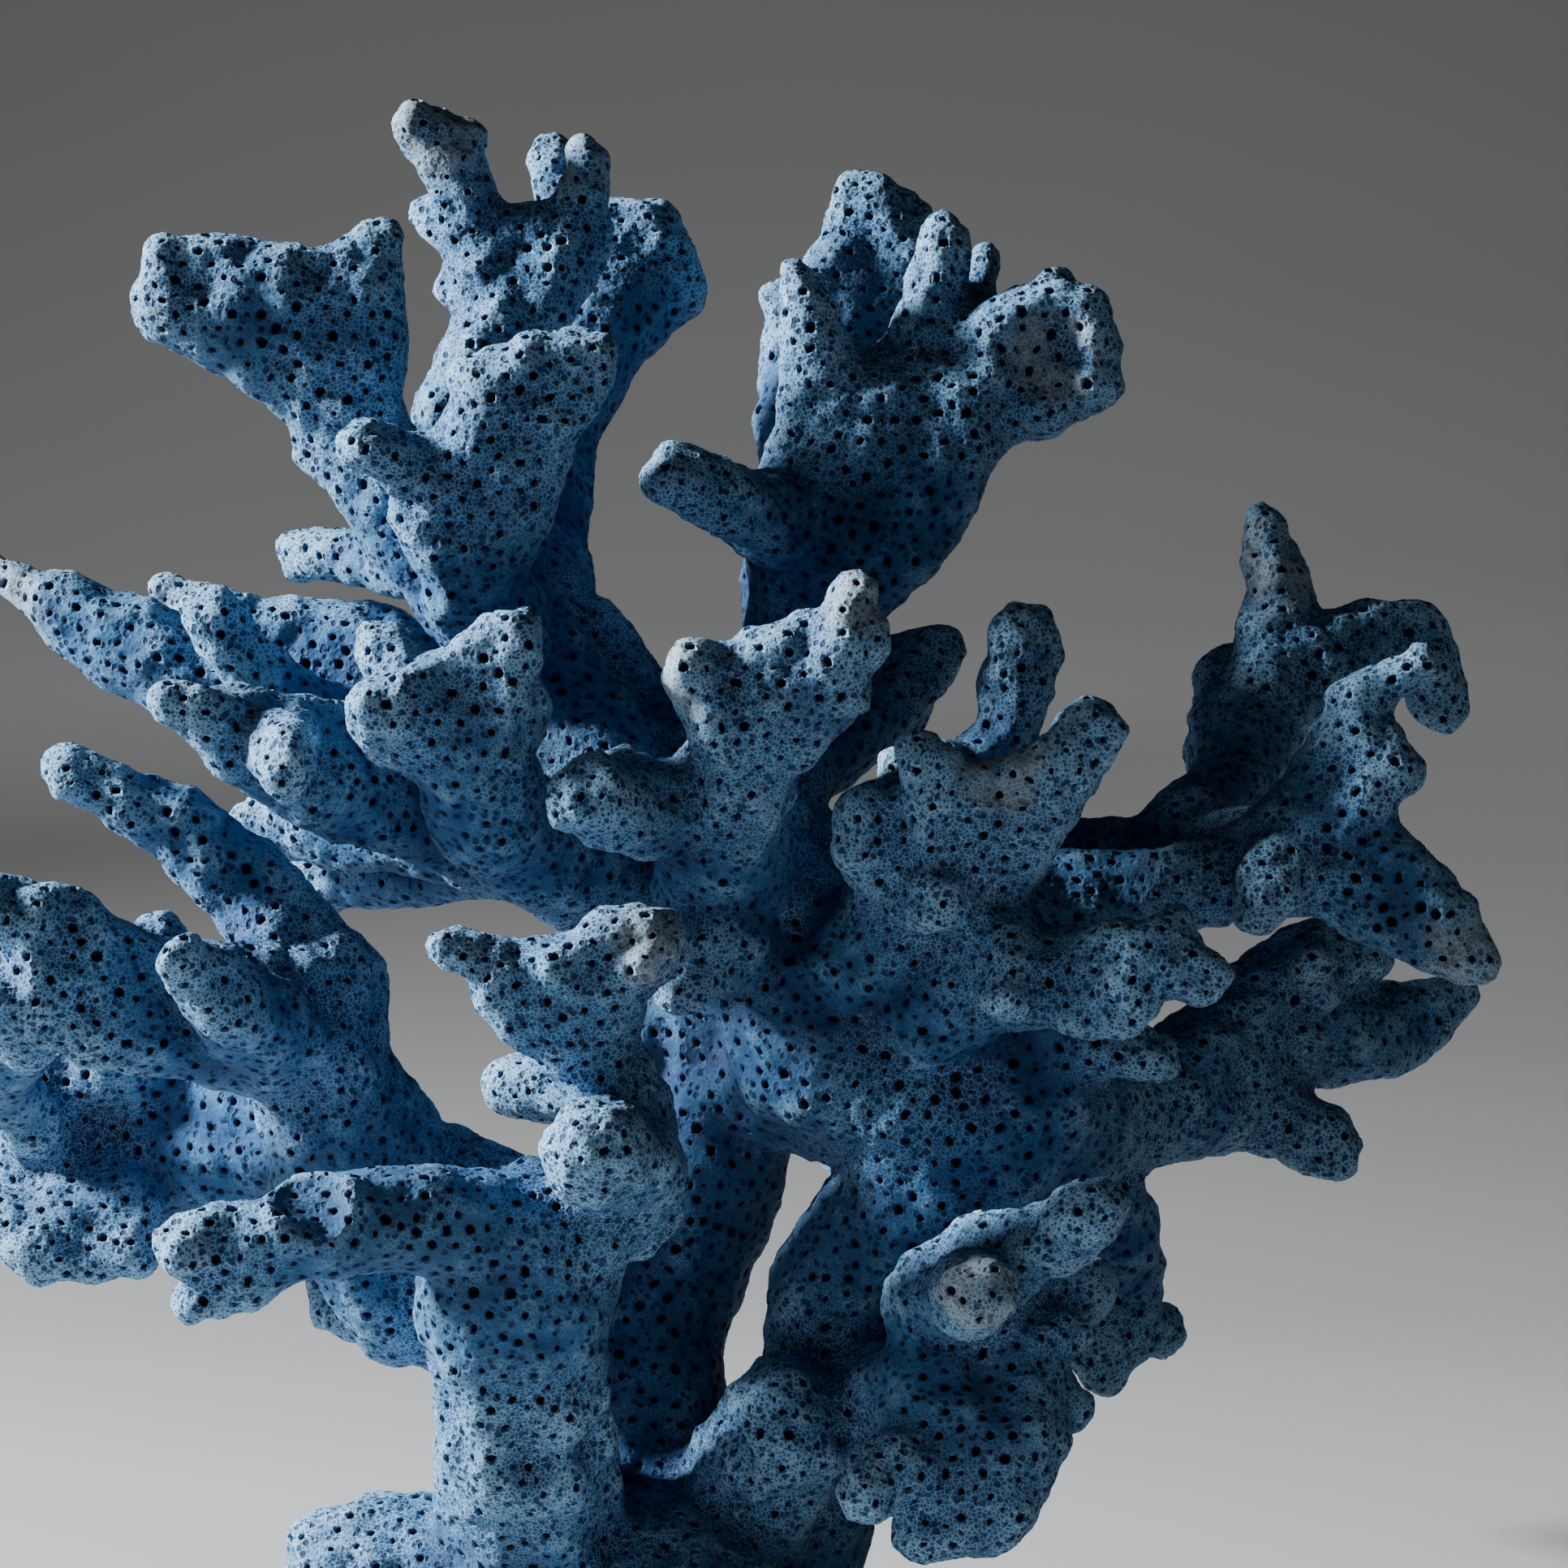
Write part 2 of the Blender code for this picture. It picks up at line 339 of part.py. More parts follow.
def colony_mesh():
    """All the hulls of all the branches, overlapping, in one mesh."""
    points = ball_points()
    body = bmesh.new()
    for branches in BRANCHES.values():
        for stations in branches.values():
            balls = [station_balls(station) for station in stations]
            for near, far in zip(balls, balls[1:]):
                add_hull(body, near + far, points)
    mesh = bpy.data.meshes.new(COLONY)
    body.to_mesh(mesh)
    body.free()
    return mesh


def clear_scene():
    for item in list(bpy.data.objects):
        bpy.data.objects.remove(item)


def collection(name):
    made = bpy.data.collections.new(name)
    bpy.context.scene.collection.children.link(made)
    return made


def view_direction(across, up, toward):
    """World direction of a direction given as it is seen in the front view."""
    y = up * math.sin(VIEW_TILT) - toward * math.cos(VIEW_TILT)
    z = up * math.cos(VIEW_TILT) + toward * math.sin(VIEW_TILT)
    return Vector((across, y, z)).normalized()


def box_object(name, centre, axes, halves, home):
    """A box with the given centre, three unit axes and half sizes."""
    box = bmesh.new()
    bmesh.ops.create_cube(box, size=2.0)
    turn = Matrix([axis * half for axis, half in zip(axes, halves)]).transposed().to_4x4()
    bmesh.ops.transform(box, matrix=Matrix.Translation(centre) @ turn, verts=box.verts)
    bmesh.ops.recalc_face_normals(box, faces=box.faces)
    mesh = bpy.data.meshes.new(name)
    box.to_mesh(mesh)
    box.free()
    made = bpy.data.objects.new(name, mesh)
    home.objects.link(made)
    made.hide_render = True
    made.display_type = "WIRE"
    return made


def saw_object(name, centre, normal, halves, home):
    """A thin plate that saws the colony through at one fork."""
    axis = view_direction(*normal)
    guide = view_direction(0, 1, 0) if abs(normal[1]) < 0.8 else view_direction(0, 0, 1)
    side = guide.cross(axis).normalized()
    rise = axis.cross(side)
    sizes = (halves[0] * MM, halves[1] * MM, KERF / 2)
    return box_object(name, seen_at(*centre), (side, rise, axis), sizes, home)


def apply_modifiers(item):
    """Replaces the mesh of an object by its mesh with all modifiers."""
    graph = bpy.context.evaluated_depsgraph_get()
    mesh = bpy.data.meshes.new_from_object(item.evaluated_get(graph))
    item.modifiers.clear()
    old = item.data
    item.data = mesh
    bpy.data.meshes.remove(old)


def subtract(item, cutter):
    cut = item.modifiers.new(cutter.name, "BOOLEAN")
    cut.operation = "DIFFERENCE"
    cut.solver = "EXACT"
    cut.object = cutter


def bodies(mesh):
    """The separate bodies of a mesh, as lists of face indices."""
    shape = bmesh.new()
    shape.from_mesh(mesh)
    shape.faces.ensure_lookup_table()
    left = set(range(len(shape.faces)))
    found = []
    while left:
        body = {left.pop()}
        front = list(body)
        while front:
            corners = {vert for index in front for vert in shape.faces[index].verts}
            front = list({face.index for vert in corners for face in vert.link_faces} & left)
            left.difference_update(front)
            body.update(front)
        found.append(sorted(body))
    shape.free()
    return found


def body_object(name, source, faces, home):
    """A new object made of some faces of a mesh."""
    keep = set(faces)
    shape = bmesh.new()
    shape.from_mesh(source)
    shape.faces.ensure_lookup_table()
    spare = [face for face in shape.faces if face.index not in keep]
    bmesh.ops.delete(shape, geom=spare, context="FACES")
    bmesh.ops.triangulate(shape, faces=shape.faces)
    for face in shape.faces:
        face.smooth = True
    mesh = bpy.data.meshes.new(name)
    shape.to_mesh(mesh)
    shape.free()
    made = bpy.data.objects.new(name, mesh)
    home.objects.link(made)
    return made


def coral_material(name):
    made = bpy.data.materials.new(name + "_coral")
    made.use_nodes = True
    shader = made.node_tree.nodes["Principled BSDF"]
    shader.inputs["Base Color"].default_value = CORAL_BLUE
    shader.inputs["Roughness"].default_value = CORAL_ROUGHNESS
    return made


def nearest_body(mesh, found, place):
    """The body with the corner nearest to a place."""
    best = None
    for body in found:
        corners = {corner for index in body for corner in mesh.polygons[index].vertices}
        gap = min((mesh.vertices[corner].co - place).length for corner in corners)
        if best is None or gap < best[0]:
            best = (gap, body)
    return best[1]


def main():
    clear_scene()
    home = collection(COLONY)
    cutters = collection("cutters")
    whole = bpy.data.objects.new(COLONY, colony_mesh())
    home.objects.link(whole)
    fuse = whole.modifiers.new("fuse", "REMESH")
    fuse.mode = "VOXEL"
    fuse.voxel_size = VOXEL
    rounding = whole.modifiers.new("round", "SMOOTH")
    rounding.factor = 0.5
    rounding.iterations = SMOOTH_STEPS
    apply_modifiers(whole)
    thin = whole.modifiers.new("thin", "DECIMATE")
    thin.ratio = TRIANGLES / (2.0 * len(whole.data.polygons))
    apply_modifiers(whole)

    ground = Vector((0, 0, -30 * MM))
    below = box_object("below", ground, (Vector((1, 0, 0)), Vector((0, 1, 0)), Vector((0, 0, 1))),
                       (120 * MM, 120 * MM, 30 * MM), cutters)
    subtract(whole, below)
    for name, (centre, normal, halves) in SAWS.items():
        subtract(whole, saw_object("saw_" + name, centre, normal, halves, cutters))
    apply_modifiers(whole)

    source = whole.data
    found = bodies(source)
    for name, place in PIECES.items():
        body = nearest_body(source, found, seen_at(*place))
        piece = body_object(name, source, body, home)
        piece.data.materials.clear()
        piece.data.materials.append(coral_material(name))
        found.remove(body)
    bpy.data.objects.remove(whole)
    bpy.data.meshes.remove(source)


main()
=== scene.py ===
"""The dressed blue coral: the grown colony with its pores, knobs and worn spots, on a pale floor.

The branches are given as in the solids, as chains of stations in millimetres as they
are seen from the front. Rows run from the body of the colony to the tips.
"""

import json
import math
import random

import bmesh
import bpy
import numpy as np
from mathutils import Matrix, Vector, noise
from mathutils.bvhtree import BVHTree
from mathutils.kdtree import KDTree

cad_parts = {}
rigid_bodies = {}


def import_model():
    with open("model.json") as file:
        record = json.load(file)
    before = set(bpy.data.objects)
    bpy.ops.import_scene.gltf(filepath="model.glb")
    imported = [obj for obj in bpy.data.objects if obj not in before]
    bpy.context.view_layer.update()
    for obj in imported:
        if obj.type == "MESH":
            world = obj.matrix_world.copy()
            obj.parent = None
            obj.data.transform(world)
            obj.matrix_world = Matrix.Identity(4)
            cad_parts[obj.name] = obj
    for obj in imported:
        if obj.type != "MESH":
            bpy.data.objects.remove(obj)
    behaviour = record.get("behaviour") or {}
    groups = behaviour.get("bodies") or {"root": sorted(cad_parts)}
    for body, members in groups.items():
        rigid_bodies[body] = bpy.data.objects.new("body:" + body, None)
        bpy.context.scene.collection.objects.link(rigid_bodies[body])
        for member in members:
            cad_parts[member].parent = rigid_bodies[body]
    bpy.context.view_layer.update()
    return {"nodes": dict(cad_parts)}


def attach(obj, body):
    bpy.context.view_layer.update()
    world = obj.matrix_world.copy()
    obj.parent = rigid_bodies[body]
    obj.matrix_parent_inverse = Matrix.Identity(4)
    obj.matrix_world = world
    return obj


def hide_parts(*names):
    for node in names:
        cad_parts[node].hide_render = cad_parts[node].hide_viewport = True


MM = 0.001
SEED = 41
VIEW_CENTRE = (4.0, 76.0)
VIEW_DISTANCE = 500.0
VIEW_TILT = math.radians(6.0)
VIEW_WIDTH = 138.0
BASE_CENTRE = (-7.0, 0.0)
SENSOR_WIDTH = 36.0

SWELL = 0.3
GRAIN = 0.62 * MM
ROUNDING = 4
TIP_REACH = 12 * MM
WORN_REACH = 3 * MM
RELIEF_ROUNDS = 60
BORDER_ROUNDS = 4
HALO_ROUNDS = 3

# Pores, in millimetres: radius and gap run from the first value to the second,
# and a large pore's radius is the first value and up to the second on top of it
LARGE_RADIUS = (0.26, 0.34)
LARGE_GAP = (1.2, 1.8)
MEDIUM_RADIUS = (0.18, 0.33)
MEDIUM_GAP = (1.15, 1.3)
DEPTH_IN_RADII = (1.5, 2.1)
# Pore marks of a pore's rim and inner ring, which set how much painted shade each gets; a pore's
# floor is marked 1
RIM_MARKS = (0.3, 0.85)
CLEAR_OF_GROUND = 1.5 * MM
ON_GROUND = 0.001 * MM

BRANCHES = {
    "trunk": {
        "left_column": [
            (-7, -3, -2, 10, 8, 0, 0), (-7, 11, 0, 8.6, 1, 0, 0), (-7.6, 22, -2, 6.2),
            (-6.9, 31, -3, 6), (-3.7, 40, -3, 7.4), (-1, 49, -2, 7), (-1, 57, 0, 6.8),
            (1, 64, 4, 7.5), (0, 71, 2, 7),
        ],
        "right_column": [
            (-2, -3, 0, 9.4), (5.2, 12, 2, 7.2), (8.5, 22, 3, 6.5), (9.1, 31, 4, 6.7),
            (16.8, 40, 6, 7.8), (21, 48, 8, 8, 4.6, 0, 0), (12, 55, 8, 8.3, 5, 2, 0),
            (5, 61, 8, 7.5), (0, 68, 6, 6.5),
        ],
        "arch": [(-1, 50, 0, 6), (8, 49, 4, 6), (16, 50, 7, 7)],
        "right_body": [(17, 44, 6, 7), (25, 45.5, 5, 7.4, 3, 0, 0), (33, 48, 1, 5.2)],
        "base_left": [(-10, 3, 6, 10), (-20, 4, 8, 9), (-33.3, 7.2, 6, 6.6)],
        "base_low_left": [(-20, -1, 8, 9), (-33, -1, 6, 7.5)],
        "base_back": [(-4, 4, -8, 9), (-2, -2, -20, 8)],
        "base_front": [(-6, 6, 8, 9), (-4, 0, 18, 8)],
        "base_lobe": [(0, 12, 6, 7), (4.5, 19.5, 12, 6.2)],
        "front_column": [
            (-17, -2, 8, 10), (-18, 10, 11, 8.6), (-18.8, 17, 17, 7.7), (-18.8, 20, 20, 7.9),
        ],
        "left_link": [(-7, 31, -3, 6.6), (-16, 32, -1, 6.2, 0, 2, 0), (-24, 34, 0, 5.5, 0, 5, 0)],
        "upper_link": [(0, 68, 3, 7), (-9, 69, 2, 6.8), (-15, 69.5, 4, 6)],
        "rear_knob": [(-6, 48, -5, 5), (-13, 49, -9, 3.4), (-19, 49.3, -12, 3.1)],
    },
    "front_left_limb": {
        "column": [
            (-18.8, 18, 19, 8), (-19.3, 25, 23, 7.9), (-19.8, 31, 26, 8, 1, 0, 0),
            (-18.7, 36, 28, 6.3, 1.4, 0, 0), (-11.6, 39.2, 27, 4.8),
        ],
        "arm": [
            (-20, 36, 29, 6), (-27, 38, 32, 4.9), (-34, 37.4, 34, 4.6), (-38.5, 36.4, 35, 4.3),
            (-43.6, 35.8, 36, 3.2), (-48.9, 35.2, 37, 2.8),
        ],
        "arm_low_tip": [(-41, 34, 35, 3.2), (-44.6, 31.8, 35, 2.3), (-48.3, 30.4, 35, 1.9)],
        "knob": [(-9.5, 42, 28, 5), (-13, 43.8, 38, 4.6)],
        "stem": [(-10, 40, 26, 5.6), (-9.8, 46.5, 27, 4.6), (-13, 52, 29, 3.9)],
        "palm": [
            (-13, 52, 29, 3.9), (-15.3, 57.3, 32, 3.3, 4.2, 0.4, 0), (-15, 60, 33, 3.1, 6, 1.2, 0),
        ],
        "palm_left_tip": [(-20.5, 59.4, 33, 2.9), (-25.6, 61.9, 34, 1.8)],
        "palm_right_tip": [(-12, 61, 33, 3.6), (-8.2, 61.2, 33, 4.0)],
    },
    "left_limb": {
        "root": [
            (-22, 34, 0, 5.6, 0, 5, 0), (-29, 35.5, 2, 4.6, 1, 6, 0),
            (-34.2, 43, 6, 5.4, 1.4, 3, 0), (-37.2, 51, 9, 5.4, 0, 3, 0),
            (-37.2, 57, 9, 5.1, 0.4, 2, 0),
        ],
        "root_plate": [(-28, 33, -3, 3, 0, 5, 0), (-35, 32, -8, 2.4, 0, 1.8, 0)],
        "long_finger": [
            (-37.9, 60, 9, 4.9), (-42.8, 66.6, 9, 4.2), (-49.2, 72.2, 10, 3.6),
            (-55, 75.4, 11, 2.9), (-58.6, 76.8, 11, 2.4),
        ],
        "spur": [(-36, 58, 8, 4), (-33.6, 58.6, 7, 2.7)],
        "arm": [
            (-36, 55, 10, 5.4, 0, 3, 0), (-45, 55.4, 15, 4.4, 0, 2, 0),
            (-54, 57, 18, 3.9, 0, 2.4, 0), (-61, 60, 20, 3.3, 0, 4, 0),
        ],
        "arm_top_tip": [(-61, 63.5, 20, 3.4), (-66, 65.5, 21, 2.6), (-70.5, 67.5, 22, 2.0)],
        "arm_low_tip": [(-61, 57, 20, 3.2), (-66, 56, 21, 2.7), (-71, 56.5, 22, 2.1)],
        "arm_bump": [(-51, 59.5, 16, 3), (-51, 62.7, 15, 2.1)],
        "front_finger": [(-41, 54, 16, 4.8), (-45.5, 57, 23, 3.9), (-48.8, 60.6, 27, 2.3)],
        "flap": [
            (-36, 47, 0, 5, 0, 1, 0), (-46, 46, -5, 4.4, 0, 3.4, 0), (-55, 44.5, -8, 3.8, 0, 4, 0),
            (-62, 42, -8, 3, 0, 2.6, 0),
        ],
        "low_plate": [
            (-55, 42, -5, 3), (-58.5, 37, -1, 2.6, 5.4, 0.4, 0), (-57.5, 34, 1, 1.7, 4.2, 0, 0),
        ],
        "low_plate_tip": [(-63, 38, -2, 2.6), (-68, 38.5, -3, 2.2)],
        "link": [(-63, 54, 16, 3), (-65, 50, 6, 2.9), (-61, 45, -4, 3)],
    },
    "club_limb": {
        "stem": [
            (-14, 69, 8, 6), (-19, 71, 13, 5.1), (-22.2, 73.8, 18.5, 4.8, 0.5, 0, 0),
            (-23.2, 78, 22, 4.6, 1, 0, 0), (-25.3, 82.4, 25, 3, 5.6, 0.8, 0),
            (-26.3, 85.2, 27, 2.5, 6, 3.1, 0),
        ],
        "knob": [(-20.8, 83, 25, 3.5), (-20.2, 88.8, 27, 3.1)],
        "rear_bump": [(-28, 82, 22, 3), (-31.6, 88.2, 18, 2.4)],
    },
    "left_finger_limb": {
        "body": [
            (-14, 70, 2, 6), (-22, 72, 6, 5.6), (-30, 75, 11, 4.8, 0, 0.8, 0),
            (-37.5, 78, 16, 4.1, 0, 1.4, 0), (-44, 80.8, 19, 3.4, 0, 0.8, 0), (-48, 82.4, 21, 2.6),
            (-50.2, 83, 21, 2.1),
        ],
        "front_finger": [(-40, 80.5, 18, 3.6), (-40.2, 79, 23, 3), (-39.8, 77.4, 26, 2.8)],
        "rear_arm": [
            (-20, 70.5, 0, 4), (-27, 68.4, -8, 3), (-36, 67.6, -14, 2.8), (-40, 68.4, -17, 2.2),
        ],
        "dark_arm": [(-26, 71.5, 2, 4.2), (-35, 72, -4, 3.6), (-42, 72.8, -8, 2.9)],
    },
    "far_left_limb": {
        "body": [
            (-12, 74, -3, 6), (-22, 77.6, -6, 5.2), (-31, 79.6, -6, 4.4), (-40, 82.4, -5, 3.7),
            (-48.5, 85.6, -5, 3.2, 0, 1, 0), (-54.5, 88.6, -6, 3.3, 0, 1.1, 0),
            (-59, 90.8, -7, 2.6, 0, 0.6, 0), (-62.5, 93.4, -8, 1.7),
            (-67, 95.6, -9, 1.3, 0, 0.7, 0),
        ],
        "upright_finger": [
            (-38, 81.4, -3, 3.6), (-41.6, 84.8, -1, 3.3), (-45, 88.4, 1, 2.8),
            (-46.8, 91.2, 2, 2.1),
        ],
        "rear_plate": [
            (-20, 76, -9, 4.4), (-25, 80, -17, 4, 0, 1.5, 0), (-31, 85.4, -20, 3.6, 0, 2.6, 0),
            (-38.5, 87.8, -21, 3, 0, 1, 0), (-46, 90.8, -22, 2.4), (-50.4, 92.8, -23, 1.9),
        ],
    },
    "top_left_limb": {
        "stem": [
            (-9, 74, -1, 6.2), (-15.5, 82, -3, 6), (-20.5, 90, -2, 5.6), (-28, 98, -1, 4.8),
            (-32.6, 104.4, 0, 4.4), (-34.5, 109, 1, 4.2, 0.5, 0, 0),
        ],
        "hammer": [
            (-34.5, 109, 1, 4.2, 0.5, 0, 0), (-38.2, 113.6, 2, 3.6, 5.4, -1.6, 0),
            (-41.6, 118.3, 3, 3.3, 8.6, 0.4, 0), (-42.6, 121.7, 3, 2.6, 7.4, 0, 0),
        ],
        "hammer_knob": [(-32.5, 118.5, 3, 3.2), (-31.6, 123.5, 3, 2.2)],
        "neck_knob": [(-35, 104.8, 0, 3), (-37.6, 106, 0, 2)],
        "front_stem": [
            (-20, 88, 0, 5), (-23.8, 94, 6, 4.8), (-23.6, 100.4, 10, 4.2, 2.6, 0, 0),
            (-22.6, 104.6, 12, 3.6, 4.6, 0.8, 0),
        ],
        "front_palm": [
            (-22, 104.8, 12, 3.6, 2, 0, 0), (-19, 109, 13, 3.4, 2.8, 0, 0),
            (-17.9, 112.5, 14, 2.6, 5, 1, 0),
        ],
        "front_finger": [(-26.6, 103.2, 12, 3.1), (-32.7, 105.4, 15, 2.6)],
        "rear_finger": [(-24, 95, -6, 3.4), (-32, 95.9, -15, 2.4), (-38.8, 96.2, -20, 2.0)],
    },
    "top_middle_limb": {
        "stem": [
            (-8, 73, -5, 6), (-14, 82, -9, 5.6), (-18, 91, -11, 5.2), (-22.5, 101, -12, 4.8),
            (-24.8, 108.6, -12, 4.4), (-21.3, 114.6, -13, 4),
        ],
        "palm": [
            (-21.3, 114.6, -13, 4), (-18.8, 120.2, -14, 3.2, 3, 0.3, 0),
            (-18.8, 124.6, -14, 2.6, 5.4, 0, 0),
        ],
        "left_finger": [
            (-23.4, 126, -14, 2.7), (-25.2, 130.4, -13, 2.5),
            (-26.3, 133.5, -12, 1.8, 1.9, -0.6, 0),
        ],
        "right_finger": [(-14, 126, -14, 2.7), (-13.3, 130.8, -14, 2.0)],
        "rear_tip": [(-15, 125.5, -17, 2.6), (-16.8, 131.6, -20, 1.6)],
        "left_knob": [(-24, 124.5, -14, 2.4), (-27.6, 126.2, -15, 1.5)],
        "left_spur": [(-21.6, 119, -14, 2.4), (-25.9, 119.5, -14, 1.2)],
        "rear_stem": [
            (-16.6, 88, -12, 5), (-17.6, 98, -18, 4.5), (-17, 107, -23, 4.5),
            (-12.8, 115, -27, 4.1, 1, 0.7, 0), (-9.8, 121, -30, 3.4, 3.6, -1.4, 0),
            (-10.6, 124.6, -30, 2.8, 2.8, 0, 0),
        ],
    },
    "top_right_limb": {
        "stem": [
            (1, 72, -3, 6.4), (3, 80, -6, 6), (5.5, 88, -5, 5.4), (7.5, 94, -4, 5.4, 1.5, 0, 0),
            (9.6, 98, -3, 5, 4.4, 0, 0), (12.6, 104, -2, 4.4, 5.2, 0, 0),
            (14.2, 110.4, -2, 4.1, 6.5, 0.6, 0),
        ],
        "left_finger": [(4.5, 98.5, 0, 4), (-0.6, 100.6, 5, 3.3), (-5, 102.9, 8, 2.9)],
        "spike_one": [(7.8, 111, -1, 3.2), (6.3, 116.2, 0, 2.5), (5.4, 120.4, 0, 1.6)],
        "spike_two": [(15.6, 112, -3, 3.6), (17.3, 118.8, -3, 2.9), (17.9, 123.8, -3, 2.4)],
        "right_plate": [
            (20, 110.5, -3, 4.2, 2, -0.6, 0), (25.6, 113.2, -2, 3.4, 1, -3.4, 0),
            (30.6, 114.2, -1, 2.8, 0.8, -2.8, 0),
        ],
        "plate_knob": [(26.2, 116, -2, 2.8), (27.8, 119.4, -2, 1.8)],
        "small_rear_knob": [(19.5, 114, -6, 3), (21.8, 121.6, -8, 1.6)],
        "rear_plate": [
            (4.5, 94, -8, 4.6), (6.4, 101, -15, 4, 1, 0, 0), (7.2, 108, -20, 3.4, 2.2, 0, 0),
            (8, 115, -24, 3.1, 2.9, 0, 0), (11.8, 121.6, -26, 2.8, 2.9, 0.3, 0),
            (11.8, 127.5, -27, 1.9, 1.4, -0.5, 0),
        ],
        "rear_corner": [(6.6, 114, -24, 3), (4.2, 118.4, -24, 2)],
        "rear_edge": [(12, 123, -26, 2.6), (15.4, 124.8, -27, 2)],
        "side_stub": [(-1, 78, -6, 5), (-9, 81, -8, 4.4), (-12.6, 87.6, -9, 3.2, 0, 1, 0)],
        "dark_knob": [(4, 78, -7, 5), (12.4, 83.6, -11, 4.6), (17.2, 87.4, -12, 2.6)],
    },
    "centre_limb": {
        "stem": [(1, 61, 8, 6.5), (-1.2, 67.5, 13, 6.2), (-1.4, 73.6, 19, 5.9), (0.8, 79, 24, 4.6)],
        "palm": [(0.8, 79, 24, 4.6), (3.4, 84, 27, 3.6, 5.4, 1, 0), (4.4, 87.6, 28, 2.7, 6, 2, 0)],
        "palm_left": [(0, 82.6, 27, 3.6), (-3.2, 85.6, 28, 3.3)],
        "palm_horn": [(8.6, 87.6, 29, 3.2), (10.4, 92.4, 29, 2.1)],
        "palm_corner": [(9, 86.6, 29, 3), (11.6, 88.8, 29, 2.4)],
        "side_finger": [(-3.6, 73.2, 18, 4.8), (-9.6, 74.2, 23, 4.1), (-13.4, 74.6, 27, 3.8)],
        "rear_bump": [(-7, 74.6, 18, 3.2), (-10.8, 76.8, 16, 2.1)],
        "low_knob": [(-2, 62.5, 15, 4.8), (-5.4, 58.2, 19, 2.6)],
    },
    "right_front_limb": {
        "stem": [
            (11, 60, 11, 7), (16, 65, 16, 5.6), (20.6, 70, 21, 4.6, 2.4, 0, 0),
            (22, 74.6, 25, 3.4, 4.8, 0, 0),
        ],
        "cup_left": [(17.8, 75.6, 26, 3.2), (15.7, 78.6, 27, 2.3)],
        "cup_right": [(26, 75.4, 26, 3.3), (29.4, 78.4, 26, 3), (31.2, 80.6, 26, 3.2)],
        "upright": [
            (17, 69, 17, 4.6), (19.6, 76.6, 14, 3.3), (23.6, 79.6, 12, 3.1), (24.4, 84, 12, 3.2),
            (25, 88.2, 12, 3.5),
        ],
        "upright_ledge": [(19.6, 77, 14, 3), (14.6, 77.6, 18, 2.4)],
        "left_lobe": [(14.4, 66.5, 18, 3.8), (12, 71.5, 22, 3.3, 0, 1.4, 0)],
        "under_knob": [(17, 67, 20, 3.6), (17.4, 65.6, 24, 3)],
    },
    "right_low_limb": {
        "stem": [
            (17, 56, 13, 6.4), (22.6, 60, 18, 4.8), (29, 58.6, 22, 3.6, 0, 1, 0),
            (34.6, 58.8, 25, 3, 0, 2, 0),
        ],
        "down_finger": [(22.4, 63.5, 20, 4.2), (23.8, 59.6, 24, 3.1), (23.8, 57.2, 25, 2.4)],
        "top_tip": [(35.5, 60, 25, 3), (38.2, 62.4, 25, 2.5)],
        "right_tip": [(36.5, 60, 25, 3.2), (41.2, 58.8, 26, 2.2)],
        "low_tip": [(34, 57.5, 25, 2.8), (33.6, 55.4, 25, 2.2)],
        "low_knob": [(27, 53.8, 11.5, 4.2), (33.5, 52.8, 14, 3), (36.9, 51.6, 15, 2.6)],
    },
    "right_limb": {
        "lower_arm": [
            (13, 62, 4, 6.2), (22, 65, 6, 4.8), (30, 66.4, 7, 3.7), (38, 66.6, 7, 3.4),
            (45, 68, 8, 4.4),
        ],
        "upper_arm": [
            (9, 68, -3, 5.6), (19, 69.6, -4, 4.1), (29, 69.9, -4, 3.3), (38, 69.6, -2, 3),
            (46, 70, 3, 3.6),
        ],
        "palm": [
            (45, 68.4, 8, 4.4), (50, 70.6, 9, 4.5, 1.6, 0.6, 0), (52.4, 75, 10, 3.6, 1.2, 0, 0),
            (54, 80, 11, 2.8, 0.4, 0, 0), (54.4, 83.2, 11, 2.4),
        ],
        "top_tip": [(54.4, 83.2, 11, 2.4), (57.4, 85.2, 12, 2), (60.4, 86.4, 13, 1.8)],
        "ridge": [(52.6, 72, 11, 4), (55.6, 76.6, 12, 3.2), (56.6, 79.2, 12, 2.6)],
        "ridge_side": [(56, 77.4, 11, 2.8), (58.6, 77.2, 10, 1.8)],
        "wing": [
            (51, 69.6, 10, 4.2), (54.8, 68.4, 11, 3.2, 0.8, 2.8, 0),
            (59.6, 64.4, 12, 2.4, 1.2, 1.8, 0), (64, 60.6, 13, 1.7, 0.8, 0.8, 0),
            (65.6, 59.2, 13, 1.2),
        ],
        "under_knob": [(48, 68.6, 11, 3.8), (46, 66.4, 15, 3.2)],
        "rear_stem": [
            (39, 71.6, -3, 3.6), (42.6, 75, -8, 3.8), (45.2, 80, -12, 3.8), (47.4, 86.4, -16, 3.8),
        ],
        "rear_spike": [
            (47.4, 86.4, -16, 3.8), (47.6, 91.6, -17, 3.1), (46.9, 96, -18, 2.4),
            (46.2, 99, -18, 1.6),
        ],
        "rear_arm": [(48.6, 87.4, -16, 3.4), (54, 88.8, -17, 2.7), (59.6, 90.2, -18, 2.3)],
        "rear_arm_plate": [(59.4, 89.4, -18, 2.4), (61.4, 85.8, -19, 2.3, 0.3, -2.5, 0)],
        "rear_lobe": [(43.6, 78, -11, 3.4), (42.6, 82, -20, 2.8, 0.5, 3.2, 0)],
    },
    "right_rear_limb": {
        "stem": [(31, 47, 2, 5.4), (38, 48.4, -4, 4.6, 0, 1, 0), (45, 51.5, -10, 4.4, 0, 3, 0)],
        "low_finger": [(44, 49, -9, 4), (49, 45.8, -10, 3.5), (52, 44.4, -10, 3.3)],
        "right_finger": [
